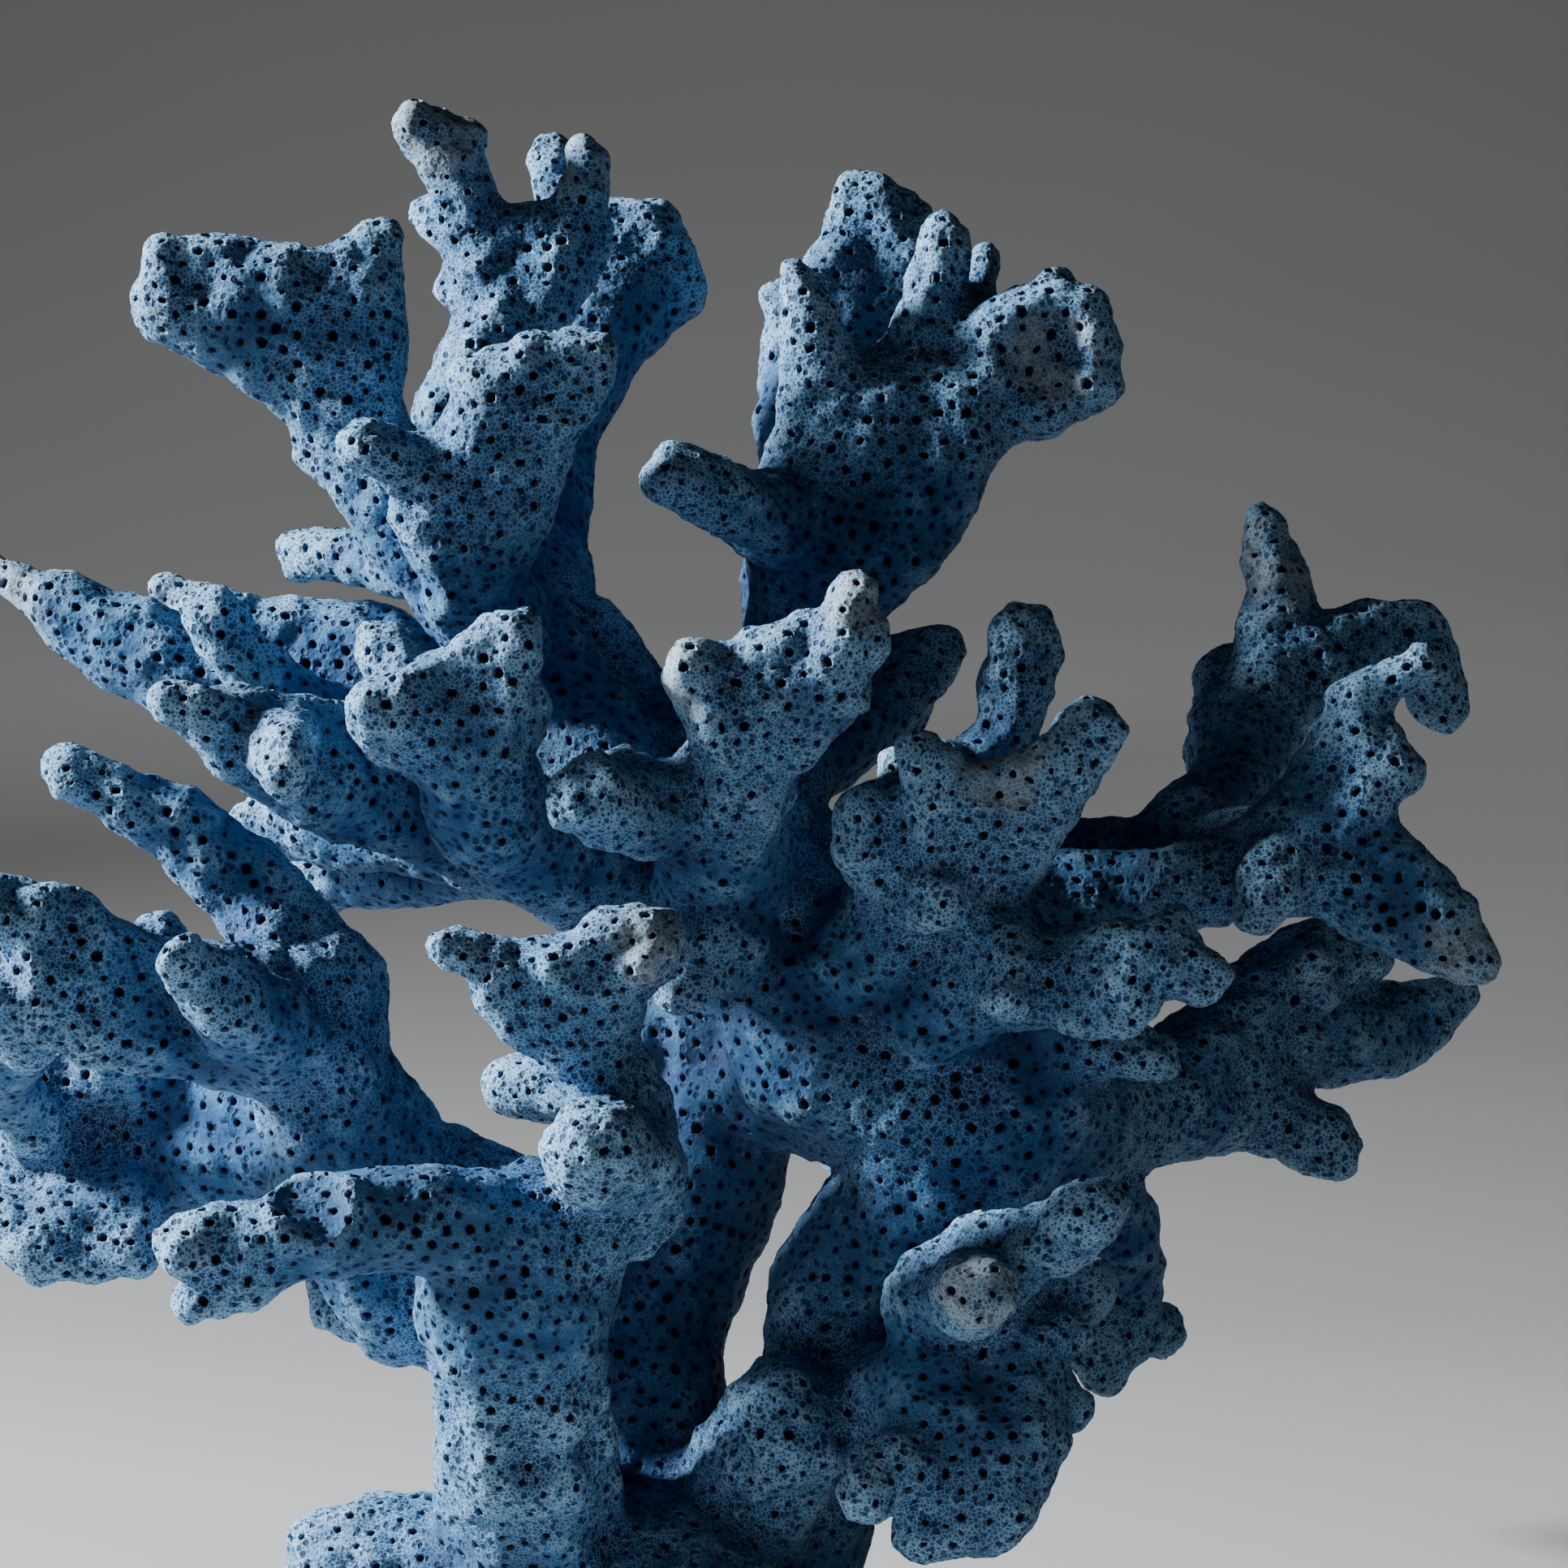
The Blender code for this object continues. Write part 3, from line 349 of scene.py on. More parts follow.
            (46, 53, -11, 4.4), (51, 54, -14, 3.9), (57, 54.2, -18, 3.2, 0, 1, 0),
            (61.6, 56.2, -20, 2.7), (63.4, 57.2, -21, 2.1),
        ],
        "upper_lobe": [(44, 56, -11, 4.4), (49.5, 60, -13, 3.8), (55, 61, -14, 2.8)],
        "small_knob": [(49.5, 58, -11, 3), (50.6, 59.8, -7, 1.8)],
        "hanging_stem": [(29, 43, 0, 5), (33.6, 37, -4, 3.5), (33.8, 31, -7, 3.3), (32, 26, -8, 3)],
        "hanging_finger": [(33, 27.4, -8, 3.1), (37.4, 28.2, -10, 2.1)],
        "hanging_tip": [(32.4, 27, -8, 2.9), (31.8, 24, -8, 2)],
    },
    "front_right_limb": {
        "root": [
            (9, 20, 6, 5.8), (16.6, 22.8, 16, 5, 0.4, 0, 0), (20.9, 23.8, 20, 4.8, 4, 0, 0),
            (20.6, 18.6, 23, 4.2, 4, 0, 0), (20.2, 13.2, 24, 3.3, 2.8, 0, 0),
            (19.4, 10.4, 24, 2.7, 3, 0, 0),
        ],
        "low_finger": [(16, 17, 24, 3.6), (10.9, 13.6, 28, 2.9)],
        "corner": [(25, 22, 20, 3.8), (28.6, 21, 20, 2.1)],
        "hump": [(17.6, 27, 18, 4.3), (18.6, 31.2, 20.5, 4.5, 1.8, 0.6, 0), (22.6, 34.2, 21, 4.2)],
        "front_knob": [(19.5, 31, 25, 4), (21.3, 31.2, 34, 3)],
        "front_finger": [(22.6, 34, 24, 4), (27.4, 36, 28, 3.3), (31.1, 37.8, 30, 2.9)],
        "side_finger": [(23, 27.2, 21, 4), (30, 28, 20, 1.6)],
    },
    "lower_rear_limb": {
        "stem": [(-1, 47, -4, 6), (0.5, 51, -15, 5.6), (8, 54, -26, 4.8)],
        "left_fork": [
            (5, 53, -23, 4.6), (0, 57, -33, 4), (-4, 58.6, -42, 2.8), (-5.4, 57.6, -45, 2.2),
        ],
        "right_fork": [
            (8, 54, -26, 4.8), (17, 54, -35, 3.8, 0, 2.4, 0), (23, 55, -42, 2.9, 0, 3, 0),
        ],
        "right_tip": [(22.4, 57.5, -41, 2.8), (26, 56.6, -47, 2)],
        "low_fork": [
            (6, 50, -24, 4.4), (12, 44.6, -33, 3.4, 1.6, 0, 0), (13.4, 43, -38, 2.4, 2, 0, 0),
        ],
    },
    "upper_rear_limb": {
        "stem": [(-1, 69, -3, 6), (-2, 73, -13, 5.4), (-5, 77, -23, 4.8)],
        "left_palm": [
            (-5, 77, -23, 4.8), (-12, 80, -31, 3.8, 0, 2.4, 0), (-18.4, 83, -37, 2.8, 0, 3.6, 0),
        ],
        "left_tip": [(-17.6, 80, -36, 2.8), (-21.6, 78.6, -42, 2)],
        "right_palm": [
            (-3, 76, -22, 4.6), (2, 79, -32, 3.6, 2, 0, 0), (3, 83.4, -39, 2.8, 3.6, 0.4, 0),
        ],
        "right_tip": [(5, 83, -39, 2.8), (7.6, 86.6, -43, 1.9)],
        "middle_tip": [(-4, 77.5, -28, 3.6), (-6, 79, -38, 3), (-7, 80.4, -46, 2.2)],
    },
}

# Small swellings that only the dressed colony has, as chains of stations
SWELLINGS = {
    "palm_edge": [(1.5, 86, 27, 3.0), (6.5, 88.6, 28, 2.6)],
    "column_side": [(-6.8, 57.5, 0, 3), (-8.6, 50.5, -1, 3)],
    "flap_top": [(-61, 50.6, -5, 3.0), (-52, 50, -4, 3)],
    "front_finger_end": [(28.8, 37, 30, 2.6), (30.8, 38.1, 31, 3.3)],
    "side_web": [(24, 30, 19, 4), (30, 31.5, 14, 3.2)],
    "rear_arm_web": [(49, 84, -16, 3.6), (55, 86.6, -17, 3.2)],
    "rear_arm_end": [(56, 88, -17.5, 3), (60.6, 86.6, -18.5, 3)],
}

# Notches in the edges of plates as they are seen from the front: (across, up, size)
NOTCHES = ((-36.8, 125.6, 2.5), (-52.6, 126.6, 2.9), (-43.2, 126.4, 0.9), (-47.6, 125.6, 0.8))

# Hollows in the skin as seen from the front: (across, up, size, depth, height of the rim)
HOLLOWS = (
    (-37.6, 39.2, 3.4, 0.9, 0.8), (-47.1, 120.7, 3.0, 0.9, 0.0), (-25.0, 83.6, 5.0, 0.8, 0.2),
    (-12.5, 17.5, 4.0, 2.2, 0.0), (-18.0, 15.6, 3.5, 1.7, 0.0), (-10.7, 61.8, 3.5, 0.6, 0.0),
    (23.6, 74.6, 4.5, 1.0, 0.0), (27.1, 113.6, 5.0, 1.0, 0.3), (-18.6, 111.4, 4.0, 0.8, 0.0),
    (1.4, 85.0, 4.5, 0.7, 0.0), (7.1, 71.4, 1.8, 1.8, 0.0),
)

# Worn, cream spots as they are seen from the front: (across, up, size)
WORN = (
    (-27.1, 134.3, 3.5), (-12.5, 131.4, 3.0), (-63.6, 95.0, 3.5), (-50.7, 93.9, 3.0),
    (-6.4, 62.1, 2.5), (20.7, 32.1, 2.5), (23.6, 77.9, 2.5), (63.6, 60.0, 2.5),
    (47.5, 95.7, 3.0), (27.9, 113.6, 2.5), (10.7, 94.1, 3.0), (-4.3, 85.7, 2.5),
)


def seen_at(across, up, toward):
    """World place, in metres, of a point given as it is seen in the front view."""
    nearer = 1.0 - toward / VIEW_DISTANCE
    right = VIEW_CENTRE[0] + (across - VIEW_CENTRE[0]) * nearer
    high = VIEW_CENTRE[1] + (up - VIEW_CENTRE[1]) * nearer
    x = right - BASE_CENTRE[0]
    y = high * math.sin(VIEW_TILT) - toward * math.cos(VIEW_TILT) - BASE_CENTRE[1]
    z = high * math.cos(VIEW_TILT) + toward * math.sin(VIEW_TILT)
    return Vector((x, y, z)) * MM


def eye():
    """Where the viewer is, and the direction from the colony to the viewer."""
    back = Vector((0.0, -math.cos(VIEW_TILT), math.sin(VIEW_TILT)))
    return seen_at(*VIEW_CENTRE, 0.0) + back * VIEW_DISTANCE * MM, back


# The bare colony


def station_balls(station):
    """One ball, or the two end balls of a bar, as (centre, radius)."""
    across, up, toward, radius = station[:4]
    bar = station[4:] or (0, 0, 0)
    radius = (radius + SWELL) * MM * (1.0 - toward / VIEW_DISTANCE)
    ends = set()
    for side in (-1, 1):
        ends.add(seen_at(across + side * bar[0], up + side * bar[1], toward + side * bar[2]).freeze())
    return [(end, radius) for end in sorted(ends, key=tuple)]


def ball_points():
    """The corners of a unit icosphere."""
    ball = bmesh.new()
    bmesh.ops.create_icosphere(ball, subdivisions=2, radius=1.0)
    points = [corner.co.copy() for corner in ball.verts]
    ball.free()
    return points


def add_hull(body, balls, points):
    """Adds the closed hull round some balls to a bmesh."""
    places = [centre + point * radius for centre, radius in balls for point in points]
    corners = [body.verts.new(place) for place in places]
    made = bmesh.ops.convex_hull(body, input=corners, use_existing_faces=False)
    spare = made["geom_interior"] + made["geom_unused"]
    inner = {item for item in spare if isinstance(item, bmesh.types.BMVert)}
    bmesh.ops.delete(body, geom=list(inner), context="VERTS")


def branch_hulls():
    """All the hulls of all the branches, overlapping, in one mesh."""
    points = ball_points()
    body = bmesh.new()
    for branches in (*BRANCHES.values(), SWELLINGS):
        for stations in branches.values():
            balls = [station_balls(station) for station in stations]
            for near, far in zip(balls, balls[1:]):
                add_hull(body, near + far, points)
    mesh = bpy.data.meshes.new("branches")
    body.to_mesh(mesh)
    body.free()
    return mesh


def tip_places():
    """The end of each branch, as (place, radius)."""
    tips = []
    for branches in BRANCHES.values():
        for stations in branches.values():
            tips += station_balls(stations[-1])
    return tips


def fused_colony():
    """Corners and quads of the branches grown together and rounded."""
    branches = bpy.data.objects.new("branches", branch_hulls())
    bpy.context.scene.collection.objects.link(branches)
    fuse = branches.modifiers.new("fuse", "REMESH")
    fuse.mode = "VOXEL"
    fuse.voxel_size = GRAIN * 1.0
    rounding = branches.modifiers.new("round", "SMOOTH")
    rounding.factor = 0.5
    rounding.iterations = ROUNDING
    shaped = branches.evaluated_get(bpy.context.evaluated_depsgraph_get())
    grown = shaped.to_mesh()
    corners = np.zeros(len(grown.vertices) * 3)
    grown.vertices.foreach_get("co", corners)
    quads = np.zeros(len(grown.loops), dtype=np.int64)
    grown.loops.foreach_get("vertex_index", quads)
    shaped.to_mesh_clear()
    spare = branches.data
    bpy.data.objects.remove(branches)
    bpy.data.meshes.remove(spare)
    return corners.reshape(-1, 3), quads.reshape(-1, 4)


def face_slopes(corners, faces):
    """Normals of quads or of triangles, as long as the faces are large."""
    start = corners[faces[:, 0]]
    if faces.shape[1] == 3:
        return np.cross(corners[faces[:, 1]] - start, corners[faces[:, 2]] - start)
    return np.cross(corners[faces[:, 2]] - start, corners[faces[:, 3]] - corners[faces[:, 1]])


def skin_normals(corners, *parts):
    """Normals of the corners over the quads, or over the quads and the triangles."""
    normals = np.zeros_like(corners)
    for faces in parts:
        slopes = face_slopes(corners, faces)
        for column in faces.T:
            for axis in range(3):
                normals[:, axis] += np.bincount(column, slopes[:, axis], len(corners))
    return normals / np.maximum(np.linalg.norm(normals, axis=1, keepdims=True), 1e-20)


def evened(values, faces, rounds):
    """Values of the corners, averaged with their neighbours a number of times."""
    edges = np.vstack([faces[:, [0, 1]], faces[:, [1, 2]], faces[:, [2, 3]], faces[:, [3, 0]]])
    one, two = edges.T
    count = len(values)
    near = np.maximum(np.bincount(one, minlength=count) + np.bincount(two, minlength=count), 1)
    for _ in range(rounds):
        total = np.zeros_like(values)
        for axis in range(values.shape[1]):
            total[:, axis] = np.bincount(one, values[two, axis], count)
            total[:, axis] += np.bincount(two, values[one, axis], count)
        values = 0.5 * values + 0.5 * total / near[:, None]
    return values


def closeness(corners, places, reach):
    """1 at some places, falling to 0 at a distance from them."""
    tree = KDTree(len(places))
    for index, (place, _) in enumerate(places):
        tree.insert(place, index)
    tree.balance()
    near = np.zeros(len(corners))
    for index, corner in enumerate(corners):
        _, which, gap = tree.find(corner)
        near[index] = 1.0 - (gap - places[which][1]) / reach
    return np.clip(near, 0.0, 1.0)


def skin_places(corners, quads, spots):
    """Where places seen from the front lie on the skin, each with its other numbers."""
    tree = BVHTree.FromPolygons(corners.tolist(), quads.tolist())
    place, _ = eye()
    found = []
    for across, up, *rest in spots:
        hit = tree.ray_cast(place, (seen_at(across, up, 0.0) - place).normalized())[0]
        if hit:
            found.append((hit, *rest))
    return found


def hollowed(corners, quads):
    """The corners with notches cut into the edges and hollows pressed into the skin."""
    normals = skin_normals(corners, quads)
    places = skin_places(corners, quads, HOLLOWS)
    start, back = eye()
    moved = corners.copy()
    for across, up, size in NOTCHES:
        sight = np.array((seen_at(across, up, 0.0) - start).normalized())
        away = moved - np.array(start)
        away -= (away @ sight)[:, None] * sight
        gap = np.linalg.norm(away, axis=1)
        reach = size * MM
        inside = gap < reach
        push = (reach - gap[inside]) / np.maximum(gap[inside], 1e-6)
        moved[inside] += away[inside] * push[:, None]
    for place, size, depth, rim in places:
        far = np.linalg.norm(corners - np.array(place), axis=1) / (size * MM)
        dip = np.where(far < 1.0, (1.0 - far ** 2) ** 2, 0.0) * depth
        lift = np.exp(-((far - 1.0) / 0.28) ** 2) * rim
        moved += normals * ((lift - dip) * MM)[:, None]
    return moved


def knobbly(corners, normals, tips):
    """The corners moved in and out into lumps, warts and small roughness."""
    moved = corners.copy()
    for index, (corner, tip) in enumerate(zip(corners / MM, tips)):
        place = Vector(corner)
        broad = noise.noise(place / 8.0)
        lumps = noise.noise(place / 4.2 + Vector((20, 0, 0)))
        warts = noise.noise(place / 2.1 + Vector((0, 20, 0)))
        grit = noise.noise(place / 0.9)
        rise = 0.5 * broad + (0.5 + 0.3 * tip) * lumps + (0.2 + 0.35 * tip) * warts
        rise += 0.16 * grit - 0.1
        moved[index] += normals[index] * rise * MM
    return moved


def sawn_flat(corners, quads):
    """The colony cut flat at the ground: corners, quads and triangles."""
    shape = bmesh.new()
    for corner in corners:
        shape.verts.new(corner)
    shape.verts.ensure_lookup_table()
    low = corners[quads][:, :, 2].max(axis=1) > -2 * MM
    for quad in quads[low]:
        shape.faces.new([shape.verts[index] for index in quad])
    lone = [vert for vert in shape.verts if not vert.link_faces]
    bmesh.ops.delete(shape, geom=lone, context="VERTS")
    everything = shape.verts[:] + shape.edges[:] + shape.faces[:]
    bmesh.ops.bisect_plane(shape, geom=everything, dist=0.02 * MM, plane_co=(0, 0, 0),
                           plane_no=(0, 0, 1), clear_inner=True)
    rim = [edge for edge in shape.edges if edge.is_boundary]
    made = bmesh.ops.holes_fill(shape, edges=rim, sides=0)
    base = set(made["faces"])
    odd = [face for face in shape.faces if len(face.verts) != 4 or face in base]
    shape.verts.index_update()
    bmesh.ops.triangulate(shape, faces=odd)
    places = np.array([vert.co for vert in shape.verts])
    faces = [[vert.index for vert in face.verts] for face in shape.faces]
    shape.free()
    quads = np.array([face for face in faces if len(face) == 4])
    split = np.array([face for face in faces if len(face) == 3])
    return places, quads, split


# The pores


def pore_seats(quads, split, count):
    """Corners where four quads meet, and the eight corners round each of them."""
    owner = quads.ravel()
    order = np.argsort(owner, kind="stable")
    degree = np.bincount(owner, minlength=count)
    first = np.concatenate([[0], np.cumsum(degree)[:-1]])
    good = degree == 4
    good[split.ravel()] = False
    seats = np.nonzero(good)[0]
    slots = order[first[seats][:, None] + np.arange(4)]
    face, turn = slots // 4, slots % 4
    side_a = quads[face, (turn + 1) % 4]
    far = quads[face, (turn + 2) % 4]
    side_b = quads[face, (turn + 3) % 4]
    row = np.arange(len(seats))
    turned = np.zeros(len(seats), dtype=np.int64)
    ring, kept = [], []
    for _ in range(4):
        ring += [side_a[row, turned], far[row, turned]]
        kept.append(face[row, turned])
        turned = np.argmax(side_a == side_b[row, turned][:, None], axis=1)
    ring, kept = np.stack(ring, axis=1), np.stack(kept, axis=1)
    ranked = np.sort(ring, axis=1)
    sound = (turned == 0) & (ranked[:, 1:] != ranked[:, :-1]).all(axis=1)
    return seats[sound], ring[sound], kept[sound]


def choose_pores(corners, seats, ring, usable, spacing, before, rand):
    """Picks usable seats in a random order, each clear of those picked before."""
    tree = KDTree(len(seats))
    for index, seat in enumerate(seats):
        tree.insert(corners[seat], index)
    tree.balance()
    order = list(range(len(seats)))
    rand.shuffle(order)
    row_of = {seat: index for index, seat in enumerate(seats.tolist())}
    taken = np.zeros(len(seats), dtype=bool)

    def take(index):
        taken[index] = True
        for _, near, _ in tree.find_range(corners[seats[index]], spacing[index]):
            taken[near] = True
        for corner in ring[index].tolist():
            if corner in row_of:
                taken[row_of[corner]] = True

    for index in before:
        take(index)
    picked = []
    for index in order:
        if usable[index] and not taken[index]:
            picked.append(index)
            take(index)
    return picked


def carved_pores(corners, normals, seats, ring, picked, radius, depth, deep, rand):
    """New corners and faces of round pores in place of the quads round their seats."""
    index = np.array(picked)
    seat, edge = seats[index], ring[index]
    centre, up = corners[seat], normals[seat]
    reach = corners[edge] - centre[:, None]
    reach -= (reach * up[:, None]).sum(axis=2, keepdims=True) * up[:, None]
    length = np.linalg.norm(reach, axis=2, keepdims=True)
    toward = reach / np.maximum(length, 1e-9)
    turn = np.arange(8) * math.pi / 4
    lean = rand.uniform(0, math.pi, (len(index), 1))
    oval = 1.0 + rand.uniform(0.0, 0.4, (len(index), 1)) * np.cos(2 * (turn[None] - lean))
    wobble = rand.uniform(0.92, 1.08, (len(index), 8))
    widest = 0.9 * length[:, :, 0].min(axis=1, keepdims=True)
    rim_reach = np.minimum(radius[index][:, None] * oval, widest) * wobble
    lip = corners[edge] - centre[:, None] - reach
    share = (rim_reach / np.maximum(length[:, :, 0], 1e-9))[:, :, None]
    rim = centre[:, None] + toward * rim_reach[:, :, None] + lip * share + up[:, None] * 0.05 * MM
    sink = depth[index][:, None, None]
    rings = [rim]
    if deep:
        rings.append(centre[:, None] + (rim - centre[:, None]) * 0.8 - up[:, None] * 0.62 * sink)
    floor = centre - up * sink[:, 0]
    start = len(corners)
    count = len(index)
    ids = start + np.arange(len(rings) * count * 8).reshape(len(rings), count, 8)
    ids = list(ids)
    bands = []
    for outer, inner in zip([edge] + ids, ids):
        sides = [outer, np.roll(outer, -1, axis=1), np.roll(inner, -1, axis=1), inner]
        bands.append(np.stack(sides, axis=2).reshape(-1, 4))
    last = ids[-1]
    fan = np.stack([last, np.roll(last, -1, axis=1), np.repeat(seat[:, None], 8, axis=1)], axis=2)
    extra = np.vstack([row.reshape(-1, 3) for row in rings])
    return floor, extra, len(rings), bands, fan.reshape(-1, 3)


def pitted(corners, quads, split, traits, rand):
    """The skin with its pores: corners, quads, triangles and the traits of the corners."""
    normals = skin_normals(corners, quads)
    seats, ring, kept = pore_seats(quads, split, len(corners))
    clear = corners[seats][:, 2] > CLEAR_OF_GROUND
    chance = rand.uniform(0, 1, len(seats))
    large = clear & (chance > 0.6 * traits["tip"][seats])
    wide = (LARGE_RADIUS[0] + LARGE_RADIUS[1] * rand.uniform(0, 1, len(seats)) ** 1.1) * MM
    picker = random.Random(SEED)
    gap = rand.uniform(*LARGE_GAP, len(seats)) * MM
    first = choose_pores(corners, seats, ring, large, gap, (), picker)
    narrow = rand.uniform(*MEDIUM_RADIUS, len(seats)) * MM
    gap = rand.uniform(*MEDIUM_GAP, len(seats)) * MM
    second = choose_pores(corners, seats, ring, clear, gap, first, picker)

    hollow = np.zeros(len(corners))
    gone = np.zeros(len(quads), dtype=bool)
    places, new_quads, new_split = [corners.copy()], [], [split]
    grown = {name: [values] for name, values in traits.items()}
    marks = [hollow]
    total = len(corners)
    for picked, radius, deep in ((first, wide, True), (second, narrow, False)):
        depth = radius * rand.uniform(*DEPTH_IN_RADII, len(seats))
        floor, extra, rows, bands, fan = carved_pores(
            np.vstack(places), np.vstack([normals, np.zeros((total - len(corners), 3))]),
            seats, ring, picked, radius, depth, deep, rand)
        places[0][seats[picked]] = floor
        hollow[seats[picked]] = 1.0
        gone[kept[picked].ravel()] = True
        places.append(extra)
        new_quads += bands
        new_split.append(fan)
        for name, values in traits.items():
            grown[name].append(np.tile(np.repeat(values[seats[picked]], 8), rows))
        for row in range(rows):
            marks.append(np.full(len(picked) * 8, RIM_MARKS[row]))
        total += len(extra)
    faces = np.vstack([quads[~gone]] + new_quads)
    split = np.vstack(new_split)
    traits = {name: np.concatenate(values) for name, values in grown.items()}
    # Pore marks, which the skin material turns into painted shade inside the carved pores
    traits["pore"] = np.concatenate(marks)
    halo = evened(traits["pore"][:, None], faces, HALO_ROUNDS)[:, 0]
    traits["halo"] = np.clip(2.2 * halo, 0.0, 1.0)
    return np.vstack(places), faces, split, traits


# The pieces


def owner_finder(nodes):
    """A function giving the number of the solid that is nearest to a place."""
    points, faces, owners = [], [], []
    for number, name in enumerate(sorted(nodes)):
        mesh = nodes[name].data
        start = len(points)
        points += [vert.co.copy() for vert in mesh.vertices]
        for face in mesh.polygons:
            faces.append([start + vert for vert in face.vertices])
            owners.append(number)
    tree = BVHTree.FromPolygons(points, faces)
    return lambda place: owners[tree.find_nearest(place)[2]]


def fork_caps(quads, split, corners):
    """Middles and triangles that close a piece where it was parted from its neighbours."""
    edges = []
    for faces in (quads, split):
        sides = faces.shape[1]
        edges += [faces[:, [turn, (turn + 1) % sides]] for turn in range(sides)]
    edges = np.vstack(edges)
    keys = np.sort(edges, axis=1)
    keys = keys[:, 0] * len(corners) + keys[:, 1]
    _, where, count = np.unique(keys, return_index=True, return_counts=True)
    open_edges = edges[where[count == 1]]
    group = {int(corner): int(corner) for corner in open_edges.ravel()}

    def head(corner):
        while group[corner] != corner:
            group[corner] = group[group[corner]]
            corner = group[corner]
        return corner

    for start, end in open_edges.tolist():
        group[head(start)] = head(end)
    loops = {}
    for start, end in open_edges.tolist():
        loops.setdefault(head(start), []).append((start, end))
    middles, caps = [], []
    for rim in loops.values():
        middles.append(corners[[start for start, _ in rim]].mean(axis=0))
        caps += [(end, start, len(corners) + len(middles) - 1) for start, end in rim]
    return np.array(middles).reshape(-1, 3), np.array(caps, dtype=np.int64).reshape(-1, 3)


def piece_object(name, corners, quads, split, normals, traits, materials):
    """One piece of the skin, closed at its forks."""
    middles, caps = fork_caps(quads, split, corners)
    used = np.unique(np.concatenate([quads.ravel(), split.ravel()]))
    lookup = np.full(len(corners) + len(middles), -1)
    lookup[used] = np.arange(len(used))
    lookup[len(corners):] = len(used) + np.arange(len(middles))
    places = np.vstack([corners[used], middles])
    loops = np.concatenate([lookup[quads].ravel(), lookup[split].ravel(), lookup[caps].ravel()])
    sizes = np.concatenate([np.full(len(quads), 4), np.full(len(split) + len(caps), 3)])
    mesh = bpy.data.meshes.new(name)
    mesh.vertices.add(len(places))
    mesh.vertices.foreach_set("co", places.ravel())
    mesh.loops.add(len(loops))
    mesh.loops.foreach_set("vertex_index", loops.astype(np.int32))
    mesh.polygons.add(len(sizes))
    starts = np.concatenate([[0], np.cumsum(sizes)[:-1]])
    mesh.polygons.foreach_set("loop_start", starts.astype(np.int32))
    highest = [corners[faces][:, :, 2].max(axis=1) for faces in (quads, split)]
    flat = np.concatenate([*highest, np.ones(len(caps))]) < ON_GROUND
    for material in materials:
        mesh.materials.append(material)
    mesh.polygons.foreach_set("material_index", flat.astype(np.int32))
    mesh.update(calc_edges=True)
    mesh.polygons.foreach_set("use_smooth", np.ones(len(sizes), dtype=bool))
    for trait, values in traits.items():
        layer = mesh.attributes.new(trait, "FLOAT", "POINT")
        values = np.concatenate([values[used], np.zeros(len(middles))])
        layer.data.foreach_set("value", values.astype(np.float32))
    shown = np.vstack([normals[used], np.zeros((len(middles), 3))])[loops]
    cap_start = 4 * len(quads) + 3 * len(split)
    flats = np.zeros(len(mesh.polygons) * 3)
    mesh.polygons.foreach_get("normal", flats)
    flats = np.repeat(flats.reshape(-1, 3), sizes, axis=0)
    shown[cap_start:] = flats[cap_start:]
    bottom = np.repeat(flat, sizes)
    shown[bottom] = flats[bottom]
    mesh.normals_split_custom_set(shown.tolist())
    made = bpy.data.objects.new(name, mesh)
    bpy.context.scene.collection.objects.link(made)
    return made


# The finishes


def link(tree, source, target):
    tree.links.new(source, target)


def node(tree, kind, **settings):
    made = tree.nodes.new(kind)
    for name, value in settings.items():
        setattr(made, name, value)
    return made


def ramp(tree, source, stops):
    """A colour ramp fed by a value; stops are (position, colour)."""
    made = node(tree, "ShaderNodeValToRGB")
    points = made.color_ramp.elements
    while len(points) < len(stops):
        points.new(0.5)
    for point, (position, colour) in zip(points, stops):
        point.position = position
        point.color = (*colour, 1.0)
    link(tree, source, made.inputs["Fac"])
    return made.outputs["Color"]


def step(tree, source, low, high, start=0.0, end=1.0):
    """A value passed through a smooth step from low to high."""
    made = node(tree, "ShaderNodeMapRange", interpolation_type="SMOOTHSTEP")
    link(tree, source, made.inputs["Value"])
    made.inputs["From Min"].default_value = low
    made.inputs["From Max"].default_value = high
    made.inputs["To Min"].default_value = start
    made.inputs["To Max"].default_value = end
    return made.outputs["Result"]


def sums(tree, operation, first, second):
    made = node(tree, "ShaderNodeMath", operation=operation)
    for socket, value in zip(made.inputs, (first, second)):
        if isinstance(value, (int, float)):
            socket.default_value = value
        else:
            link(tree, value, socket)
    return made.outputs["Value"]


def blend(tree, amount, first, second, kind="MIX"):
    made = node(tree, "ShaderNodeMix", data_type="RGBA", blend_type=kind)
    for place, value in ((0, amount), (6, first), (7, second)):
        socket = made.inputs[place]
        if isinstance(value, tuple):
            socket.default_value = (*value, 1.0)
        elif isinstance(value, (int, float)):
            socket.default_value = value
        else:
            link(tree, value, socket)
    return made.outputs[2]


def noise_value(tree, place, size, detail=3.0, roughness=0.55):
    made = node(tree, "ShaderNodeTexNoise")
    link(tree, place, made.inputs["Vector"])
    made.inputs["Scale"].default_value = 1.0 / (size * MM)
    made.inputs["Detail"].default_value = detail
    made.inputs["Roughness"].default_value = roughness
    return made.outputs["Fac"]


